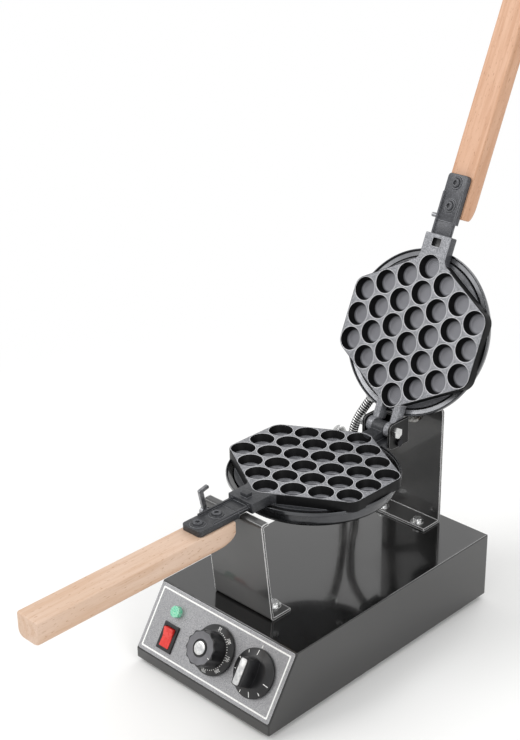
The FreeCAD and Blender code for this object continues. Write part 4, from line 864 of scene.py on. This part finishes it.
def upperHingeShells():
    # two arms with their knuckles and stop heels
    near, far, deep = hinge["heel"]
    outline = armOutline(
        (near - 0.4, hinge["knuckle"], 1), (near, deep, 1.2), (far, deep, 1.2), (far, plate["edge"], 1.0),
        (hinge["inner"], plate["edge"], 0),
    )
    spans = ((-hinge["armOut"], -hinge["armIn"]), (hinge["armIn"], hinge["armOut"]))
    return [joinedToPlate(softBlock(outline, *span, 0.6, order=(2, 0, 1))) for span in spans]


def lowerHingeShells():
    # a tongue with its knuckle, the foot that the clevis holds, and the key on the neck
    r = hinge["knuckle"]
    side, start, top, bottom = hinge["foot"]
    outline = armOutline((-r + 2, hinge["tongue"], 0), (hinge["inner"], hinge["tongue"], 0))
    foot = softBlock(boxOutline(-side, start, side, hinge["inner"], 1.5), top, bottom, 0.8, slot=1)
    tongue = softBlock(outline, -r, r, 0.6, order=(2, 0, 1), slot=1)
    key = softBlock(lugOutline(0), cup["face"] - lug["high"], cup["face"] + 0.5, 0.6, slot=1)
    return [joinedToPlate(foot), joinedToPlate(tongue), key]


castFinish = [finish[key] for key in ("face", "casting", "plastic", "wall", "floor")]
# the lower plate takes the darker casting copy as painted shade
lowerFinish = [finish[key] for key in ("face", "shadedLowerCasting", "plastic", "wall", "floor")]
upperShells = plateShells() + tangShells() + upperHingeShells()
addPiece("upperPlate", upperShells, upperPan, "upper_pan", castFinish, ("upper_plate",))
lowerShells = plateShells() + tangShells() + lowerHingeShells() + [neckBlock(1)]
addPiece("lowerPlate", lowerShells, lowerPan, "lower_pan", lowerFinish, ("lower_plate",))
pocket = softBlock(lugOutline(lug["room"]), cup["face"] - 2, cup["face"] + lug["high"] + 0.6, 0.1, slot=2)
neckSlots = [0, 0, 0, 1, 1, 1, 1]  # pale face with its rounded border, dark sides and back
upperNeck = cutOut(
    makeMesh("upperNeck", [neckBlock(neckSlots)], upperPan, castFinish),
    makeMesh("pocket", [pocket], upperPan, castFinish),
)
addMesh("upperNeck", upperNeck, "upper_pan", ())
print("plates cast")


# shells behind the plates: spun bowls with a channelled rim

shell = {
    "rim": 94.0, "rimTop": 10.4, "channel": 12.6, "top": 90.0, "foot": 88.0, "depth": 32.0, "bend": 12.0,
    "sheet": 1.8, "sides": 160,
}


def addBowl(name, place, body, node, inner):
    # outside from inside the rim over its rolled lip, down the wall, round the bend and across the floor;
    # inside the same sheet's other face
    sheet, depth, channel, rim, top = (shell[key] for key in ("sheet", "depth", "channel", "rim", "top"))
    profile = softLine(
        [
            (top - sheet - 1.5, channel + 0.4, 0), (rim - sheet, channel, 1.2),
            (rim - sheet * 0.8, shell["rimTop"], 0.6), (rim, shell["rimTop"], 0.6), (rim, channel + 2.0, 1.0),
            (top + 0.6, channel + 2.6, 0.8), (shell["foot"], depth, shell["bend"]), (0, depth, 0),
        ],
        steps=8,
    )
    floor = np.linspace(1, 0, 9)[1:, None] * np.array([profile[-2, 0], 0]) + (0, depth)
    wall = softLine(
        [
            (0, depth - sheet, 0), (shell["foot"] - sheet, depth - sheet, shell["bend"] - sheet),
            (top - sheet - 1.5, channel + 0.4, 0),
        ],
        steps=8,
    )
    middle = (0, plate["centre"])
    outside = turnedShell(np.concatenate([profile[1:-1], floor]), shell["sides"], middle)
    inside = turnedShell(np.concatenate([wall, profile[:2]]), shell["sides"], middle, slot=1)
    addPiece(name, [outside, inside], place, body, [finish["shell"], finish[inner]], (node,))


# the upper shell's inside is a paler copy of the shell as painted reflection; the lower one's is the black
# enamel as painted shade
addBowl("upperShell", upperPan, "upper_pan", "upper_shell", "shellInsidePaintedReflection")
addBowl("lowerShell", lowerPan, "lower_pan", "lower_shell", "sheet")
print("shells spun")


# wooden handles

grip = {
    "start": 244.0, "end": 492.0, "wide": 32.0, "top": 12.0, "deep": 26.0, "arris": 1.5, "round": 8.0,
    "scoop": 20.0, "thin": 0.6,  # the underside rises towards the pan over the scoop's length
    "over": 3.0, "drawn": 0.1, "firstRing": 0.93,  # the far end's rounding, and the near end's narrowing
}


def gripShell():
    # a flat top that meets flat sides in an arris, over a rounded underside, carried along the handle; its
    # depth falls towards the pan as a quarter ellipse, and its far end is rounded over
    half, low, high = grip["wide"] / 2, grip["top"], grip["top"] + grip["deep"]
    arris, belly = grip["arris"], grip["round"]
    corners = [(-half, low, arris), (half, low, arris), (half, high, belly), (-half, high, belly)]
    outline = softLine(corners, closed=True, steps=8)
    scooped = grip["start"] + np.linspace(0, 1, 14) ** 1.6 * grip["scoop"]
    stations = np.concatenate([scooped, [grip["end"] - 9]])
    turn = np.linspace(0, math.pi / 2, 7)
    along = np.concatenate([stations, grip["end"] - grip["over"] + grip["over"] * np.sin(turn)])
    rise = np.clip((along - grip["start"]) / grip["scoop"], 0, 1)
    deep = grip["thin"] + (1 - grip["thin"]) * np.sqrt(1 - (1 - rise) ** 2)
    shrink = np.concatenate([np.ones(len(stations)), 1 - grip["drawn"] * (1 - np.cos(turn))])
    shrink[0] = grip["firstRing"]
    middle = (low + high) / 2
    x = outline[None, :, 0] * shrink[:, None]
    w = (outline[None, :, 1] - low) * deep[:, None] + low
    w = np.where(along[:, None] > grip["end"] - 4, middle + (w - middle) * shrink[:, None], w)
    points = np.stack([x, np.broadcast_to(along[:, None], x.shape), w], axis=-1)
    return gridShell(points, capFirst=True, capLast=True)


pans = (("upper", upperPan), ("lower", lowerPan))
for side, place in pans:
    wood = [finish[side + "Wood"]]
    addPiece(side + "Handle", [gripShell()], place, side + "_pan", wood, (side + "_handle",), 50)
print("handles shaped")


# bolts

gripBolt = {
    "head": 5.2, "top": 2.0, "seat": 7.0, "socket": 2.5, "deep": 2.4,
    "nut": 5.6, "nutTop": 32.0, "nutEnd": 38.2,
}


def socketBolt(out):
    # a cap screw: head rounded over, with a round socket, and its nut at the wood's far side
    socket, top, floor = gripBolt["socket"], gripBolt["top"], gripBolt["top"] + gripBolt["deep"]
    edge, seat = gripBolt["head"], gripBolt["seat"]
    head = softLine([(socket, floor, 0), (socket, top, 0.2), (edge, top, 0.9), (edge, seat, 0)], steps=4)
    bottom = np.array([(0, floor), (socket, floor)])
    nut = hexShell(gripBolt["nut"], gripBolt["nutTop"], gripBolt["nutEnd"], 0.6)
    return [turnedShell(head, 36, (0, out)), turnedShell(bottom, 36, (0, out)), setAt(nut, 0, out)]


for side, place in pans:
    shells = [part for out in gripBolts for part in socketBolt(out)]
    node = side + "_handle_bolts"
    addPiece(side + "HandleBolts", shells, place, side + "_pan", [finish["casting"]], (node,))

standBolt = {
    "x": 26.0, "rows": (-95.0, 143.5), "seat": 87.0, "washer": 8.0, "thick": 1.2, "head": 5.8, "high": 4.0,
}


def standBoltShells():
    # a washer and a hexagon head in each corner of both feet
    seat, top, washer = standBolt["seat"], standBolt["seat"] + standBolt["thick"], standBolt["washer"]
    ring = softLine([(0, seat, 0), (washer, seat, 0.2), (washer, top, 0.4), (0, top, 0)], steps=3)
    head = hexShell(standBolt["head"], 0, standBolt["high"], 0.7)
    shells = []
    for y in standBolt["rows"]:
        for x in (-standBolt["x"], standBolt["x"]):
            shells += [turnedShell(ring, 40, (x, y)), setAt(head, x, y, top)]
    return shells


addPiece("standBolts", standBoltShells(), baseMiddle, "base", [finish["steel"]], ("stand_bolts",))
print("bolts set")


# controls on the slanted front; a cone is two points (radius, height) and carries a dial's printing

knob = {
    "seat": 1.8, "cone": ((21.0, 7.4), (26.8, 4.2)), "radius": 19.8, "top": 25.8, "face": 14.0, "sides": 144,
    "lobes": 12, "lobeDepth": 0.1, "lobesFrom": 6.5, "groove": 9.6, "grooveDepth": 0.9,
    "cap": 7.2, "capTop": 27.4,
}


def skirtShell(dial, soft, *rest):
    # flat below, a low straight side, and the cone up to its shoulder, whose edge is soft
    shoulder, edge = dial["cone"]
    corners = [(0, dial["seat"], 0), (edge[0], dial["seat"], 0.3), (*edge, 0.6), (*shoulder, soft), *rest]
    return turnedShell(softLine(corners, steps=4), 96)


def lobed(turn, radius, height):
    # scallops round the grip, 1 - depth |cos(lobes t / 2)|^1.6, that fade out towards the middle of its top
    share = np.where(height > knob["lobesFrom"], np.clip(radius / knob["radius"], 0, 1) ** 8, 0)
    return 1 - knob["lobeDepth"] * share * np.abs(np.cos(knob["lobes"] / 2 * turn)) ** 1.6


def temperatureKnobShells():
    seat, radius, top, groove = (knob[key] for key in ("seat", "radius", "top", "groove"))
    side = softLine([(radius - 0.6, seat + 4.0, 0), (radius, top, 1.3), (knob["face"], top, 0)])
    face = np.stack([np.linspace(radius - 2.1, groove, 7), np.full(7, top)], axis=1)
    low = top - knob["grooveDepth"]
    ring = softLine([(groove, top, 0), (groove - 0.5, low, 0.3), (0, low, 0)], steps=3)
    lobedParts = ((side[:-1], 0), (np.array([side[-2], face[0]]), 0), (face, 1))
    shells = [turnedShell(line, knob["sides"], wave=lobed, slot=slot) for line, slot in lobedParts]
    return [skirtShell(knob, 0.4, (radius - 2.0, seat + 6.0, 0)), *shells, turnedShell(ring, knob["sides"])]


def capShell(radius, low, high):
    side = [(0, low, 0), (radius, low, 0.2), (radius, high - 0.4, 0.6)]
    return turnedShell(softLine(side + [(radius - 2.0, high, 0.8), (0, high, 0)], steps=4))


temperatureFinish = [finish["plastic"], finish["satin"]]
addPiece(
    "temperatureKnob", temperatureKnobShells(), temperaturePlace, "temperature_dial", temperatureFinish,
    ("thermostat_knob",),
)
cap = capShell(knob["cap"], knob["top"] - knob["grooveDepth"], knob["capTop"])
addPiece(
    "temperatureCap", [cap], temperaturePlace, "temperature_dial", [finish["silver"]],
    ("thermostat_knob_cap",),
)

timer = {
    "seat": 1.8, "cone": ((18.0, 7.0), (25.9, 4.2)), "level": 7.4, "round": 15.5, "wide": 11.0, "bulge": 14.3,
    "top": 25.8, "strip": (28.0, 8.0), "stripCorner": 2.0, "stripOut": 1.0,
}


def timerKnobShells():
    # a bar whose long sides swell outwards, x = w/2 + (b - w)/2 (1 - (y / e)^2), with its ends on one circle
    skirt = skirtShell(timer, 0.8, (timer["round"], timer["level"], 0), (0, timer["level"], 0))
    half = timer["wide"] / 2
    end = math.sqrt(timer["round"] ** 2 - half**2)
    y = np.linspace(-1, 1, 25)
    side = np.stack([half + (timer["bulge"] - timer["wide"]) / 2 * (1 - y**2), y * end], axis=1)
    first = math.atan2(end, half)
    cap = ringPoints(timer["round"], np.linspace(first, math.pi - first, 11)[1:-1])
    outline = np.concatenate([side, cap, -side, -cap])
    return [skirt, softBlock(outline, timer["seat"] + 4, timer["top"], 1.0, edgeLow=0.1)]


addPiece(
    "timerKnob", timerKnobShells(), timerPlace, "timer_dial", [finish["plastic"]],
    ("timer_knob",),
)
long, wide = timer["strip"]
stripOutline = boxOutline(-wide / 2, -long / 2, wide / 2, long / 2, timer["stripCorner"])
strip = softBlock(stripOutline, timer["top"] - 0.5, timer["top"] + timer["stripOut"], 0.35)
addPiece(
    "timerInsert", [strip], timerPlace, "timer_dial", [finish["silver"]],
    ("timer_knob_insert",),
)

rocker = {
    "wide": 13.6, "long": 21.6, "axle": 0.8, "lean": 8.0, "low": -2.0, "high": 4.6, "dip": 2.4, "under": -4.0,
}


def rockerShell():
    # a shallow vee seen from the side, both paddles hollowed for a fingertip, leaned with its upper end out
    end, low, high = rocker["long"] / 2, rocker["low"], rocker["high"]
    top = [(-end, low, 0.3), (-end, high, 0.9), (0, rocker["dip"], 6.0), (end, high, 0.9), (end, low, 0.3)]
    outline = softLine([*top, (0, rocker["under"], 0)], closed=True)
    turn = math.radians(rocker["lean"])
    leaned = outline @ np.array([[math.cos(turn), math.sin(turn)], [-math.sin(turn), math.cos(turn)]])
    return softBlock(leaned, -rocker["wide"] / 2, rocker["wide"] / 2, 0.7, order=(2, 0, 1))


rockerPlace = shifted(panelPlace, *controls["rocker"], rocker["axle"])
paddle = [rockerShell()]
addPiece("rockerPaddle", paddle, rockerPlace, "rocker", [finish["red"]], ("power_rocker",))

lamp = {"radius": 6.3, "seat": 1.2, "top": 7.2, "shoulder": 1.6, "dish": 0.4}
lampPlace = shifted(panelPlace, *controls["lamp"])
lensLine = softLine(
    [
        (0, lamp["seat"], 0), (lamp["radius"], lamp["seat"], 0), (lamp["radius"], lamp["top"], 1.0),
        (lamp["radius"] - lamp["shoulder"], lamp["top"], 0.4), (0, lamp["top"] - lamp["dish"], 0),
    ],
    steps=6,
)
lens = [turnedShell(lensLine)]
addPiece("lampLens", lens, lampPlace, "base", [finish["lens"]], ("pilot_lamp_lens",))


# printing on the panel and the dials

panelPrint = {
    "left": -94.7, "right": 94.7, "low": 5.5, "high": 74.3, "line": 1.8, "corner": 1.4,
    "level": 0.8, "rise": 0.09,
    "tick": {"at": (57.2, 66.4), "long": 4.0, "wide": 1.3, "drawn": 0.85},
}


def frameShell(x0, y0, x1, y1, line, low, high, corner):
    # a closed printed line: an outer and an inner outline joined, with square edges
    outer = boxOutline(x0, y0, x1, y1, corner)
    inner = boxOutline(x0 + line, y0 + line, x1 - line, y1 - line, corner - 0.3)
    rings = [(outer, low), (outer, high), (inner, high), (inner, low)]
    points = [np.concatenate([ring, np.full((len(ring), 1), level)], axis=1) for ring, level in rings]
    return gridShell(np.stack(points), wrapRows=True)


def slanted(part, turn, cone):
    # laid on a cone, whose height falls from its first point to its second, then turned about the axis
    (r0, h0), (r1, h1) = cone
    points = part["points"].copy()
    points[:, 2] += h0 + (h1 - h0) * (points[:, 0] - r0) / (r1 - r0)
    c, s = math.cos(turn), math.sin(turn)
    points[:, :2] = points[:, :2] @ np.array([[c, s], [-s, c]])
    return {**part, "points": points}


def strokeShell(r0, r1, wide):
    return softBlock(boxOutline(r0, -wide / 2, r1, wide / 2, wide * 0.4), -0.05, 0.1, 0.03)


def figureShell(words, high, radius):
    # figures with their feet towards the middle, at a radius, on a stroke of their own thickness
    curve = bpy.data.curves.new("figure", "FONT")
    curve.body, curve.size, curve.align_x, curve.extrude = words, high / 0.7, "CENTER", 0.08
    holder = bpy.data.objects.new("figure", curve)
    mesh = bpy.data.meshes.new_from_object(holder)
    bpy.data.objects.remove(holder)
    flat = np.zeros(len(mesh.vertices) * 3)
    mesh.vertices.foreach_get("co", flat)
    flat = flat.reshape(-1, 3)
    points = np.stack([radius + flat[:, 1], -flat[:, 0], flat[:, 2]], axis=1)
    caps = [np.array(polygon.vertices) for polygon in mesh.polygons]
    return {
        "points": points, "quads": np.zeros((0, 4), int), "caps": caps, "slots": np.zeros(len(caps)),
        "marks": np.zeros(len(points)),
    }


mark = panelPrint["tick"]
tick = strokeShell(0, mark["long"], mark["wide"])
x, y, z = tick["points"].T
(left, low), level = mark["at"], panelPrint["level"]
tick["points"] = np.stack([left - y, low + x * mark["drawn"], z + level], axis=1)
frameLine = frameShell(
    *(panelPrint[key] for key in ("left", "low", "right", "high", "line")),
    level - 0.02, level + panelPrint["rise"], panelPrint["corner"],
)
addPiece("panelPrint", [tick, frameLine], panelPlace, "base", [finish["ink"]], ())

timerMarks = {"count": 9, "first": 96.0, "step": 31.5, "outer": 24.4, "long": 5.6, "short": 3.0, "wide": 0.8}
marks = []
for i in range(timerMarks["count"]):
    inner = timerMarks["outer"] - timerMarks["short" if i % 2 else "long"]
    turn = math.radians(timerMarks["first"] + timerMarks["step"] * i)
    marks.append(slanted(strokeShell(inner, timerMarks["outer"], timerMarks["wide"]), turn, timer["cone"]))
addPiece("timerMarks", marks, timerPlace, "timer_dial", [finish["ink"]], ())

scale = {
    "figures": ("50", "100", "150", "200", "250", "300"), "high": 2.9, "at": 22.0, "step": 45,
    "dots": 34, "dotStep": 7.5, "dotIn": 20.6, "dotOut": 21.4, "dotWide": 0.8,
    "pointer": (14.6, 17.2, 0.7), "pointerTurn": -20,
}
marks = []
for i, words in enumerate(scale["figures"]):
    figure = figureShell(words, scale["high"], scale["at"])
    marks.append(slanted(figure, math.radians(90 - scale["step"] * i), knob["cone"]))
dot = strokeShell(scale["dotIn"], scale["dotOut"], scale["dotWide"])
marks += [slanted(dot, math.radians(90 - i * scale["dotStep"]), knob["cone"]) for i in range(scale["dots"])]
pointer = setAt(strokeShell(*scale["pointer"]), 0, 0, knob["top"])
marks.append(slanted(pointer, math.radians(scale["pointerTurn"]), ((0, 0), (1, 0))))
addPiece(
    "temperatureScale", marks, temperaturePlace, "temperature_dial", [finish["ink"]], ()
)
print("controls fitted")


# the other CAD nodes keep their shape and get their finish

nodeFinish = {
    "sheet": ["base_housing", "bottom_cover"],
    "stand": ["front_stand", "rear_stand"],
    "clevis": ["hinge_clevis"],
    "black": ["clevis_bolt"],
    "panel": ["control_panel", "timer_body"],
    "steel": [
        "cover_screws", "base_glands", "hinge_pin", "hinge_nut", "swivel_shaft", "swivel_nut",
        "lower_shell_screws", "upper_shell_screws", "lower_gland", "upper_gland",
        "lower_heater", "upper_heater",
        "thermostat_spindle", "timer_spindle",
    ],
    "dull": ["latch_stud", "latch_peg", "latch_lever"],
    "chrome": ["pilot_lamp_body"],
    "bronze": ["swivel_bush"],
    "rubber": ["rubber_feet"],
    "plastic": ["switch_housing", "thermostat_body", "mains_gland"],
    "white": ["terminal_block"],
    "fibre": ["lower_insulation", "upper_insulation"],
}
for key, names in nodeFinish.items():
    for name in names:
        nodes[name].data.materials.clear()
        nodes[name].data.materials.append(finish[key])
print("nodes finished")


# floor, light and background

studio = {
    "floor": "#f4f4f3", "floorSize": 14.0, "floorLevel": -0.0002, "near": 0.35, "far": 0.95,
    "sky": 1.0, "fill": 0.75,
}


def seenBy(tree):
    # 1 for what the camera, a mirror or a lens sees, 0 for light that falls on the object
    light = addNode(tree, "ShaderNodeLightPath").outputs
    seen = light["Is Camera Ray"]
    for ray in ("Is Glossy Ray", "Is Transmission Ray"):
        seen = addNode(tree, "ShaderNodeMath", {"operation": "MAXIMUM"}, {0: seen, 1: light[ray]}).outputs[0]
    return seen


def addStudio(size):
    # a wide pale floor that keeps the object's shadow and turns to plain white around it
    mesh = bpy.data.meshes.new("floor")
    half, low = size["floorSize"] / 2, size["floorLevel"]
    corners = [(-half, -half, low), (half, -half, low), (half, half, low), (-half, half, low)]
    mesh.from_pydata(corners, [], [(0, 1, 2, 3)])
    floor = bpy.data.objects.new("floor", mesh)
    bpy.context.scene.collection.objects.link(floor)
    sockets = {"Roughness": 0.85, "Base Color": colour(size["floor"]), "Specular IOR Level": 0.1}
    material, tree, shader = newMaterial("paleStudioFloor", sockets)
    away = addNode(tree, "ShaderNodeVectorMath", {"operation": "LENGTH"}, {0: objectPoint(tree)})
    inputs = {0: ramp(tree, away.outputs["Value"], size["near"], size["far"]), 1: seenBy(tree)}
    wide = addNode(tree, "ShaderNodeMath", {"operation": "MULTIPLY"}, inputs).outputs[0]
    white = addNode(tree, "ShaderNodeEmission", {}, {"Color": (1, 1, 1, 1), "Strength": 1.0}).outputs[0]
    mix = addNode(tree, "ShaderNodeMixShader", {}, {0: wide, 1: shader.outputs[0], 2: white})
    tree.links.new(mix.outputs[0], tree.nodes["Material Output"].inputs["Surface"])
    mesh.materials.append(material)
    world = bpy.data.worlds.new("studio")
    bpy.context.scene.world = world
    world.use_nodes = True
    tree = world.node_tree
    power = between(tree, seenBy(tree), size["fill"], size["sky"])
    tree.links.new(power, tree.nodes["Background"].inputs["Strength"])
    tree.nodes["Background"].inputs["Color"].default_value = (1, 1, 1, 1)


lamps = {  # place, aim, width, watts
    "key": ((-1.1, -1.5, 1.9), (0, 0, 0.2), 1.4, 26),
    "side": ((1.7, -0.5, 1.1), (0, 0.05, 0.2), 1.1, 9),
    "back": ((-0.3, 1.8, 1.7), (0, 0, 0.25), 1.3, 12),
}


def addLamps():
    for name, (place, aim, width, watts) in lamps.items():
        light = bpy.data.lights.new(name, "AREA")
        light.shape = "DISK"
        light.size = width
        light.energy = watts
        lampObject = bpy.data.objects.new(name, light)
        lampObject.location = place
        lampObject.rotation_euler = (Vector(aim) - Vector(place)).to_track_quat("-Z", "Y").to_euler()
        bpy.context.scene.collection.objects.link(lampObject)


addStudio(studio)
addLamps()
bpy.context.scene.view_settings.view_transform = "Standard"
print("studio lit")
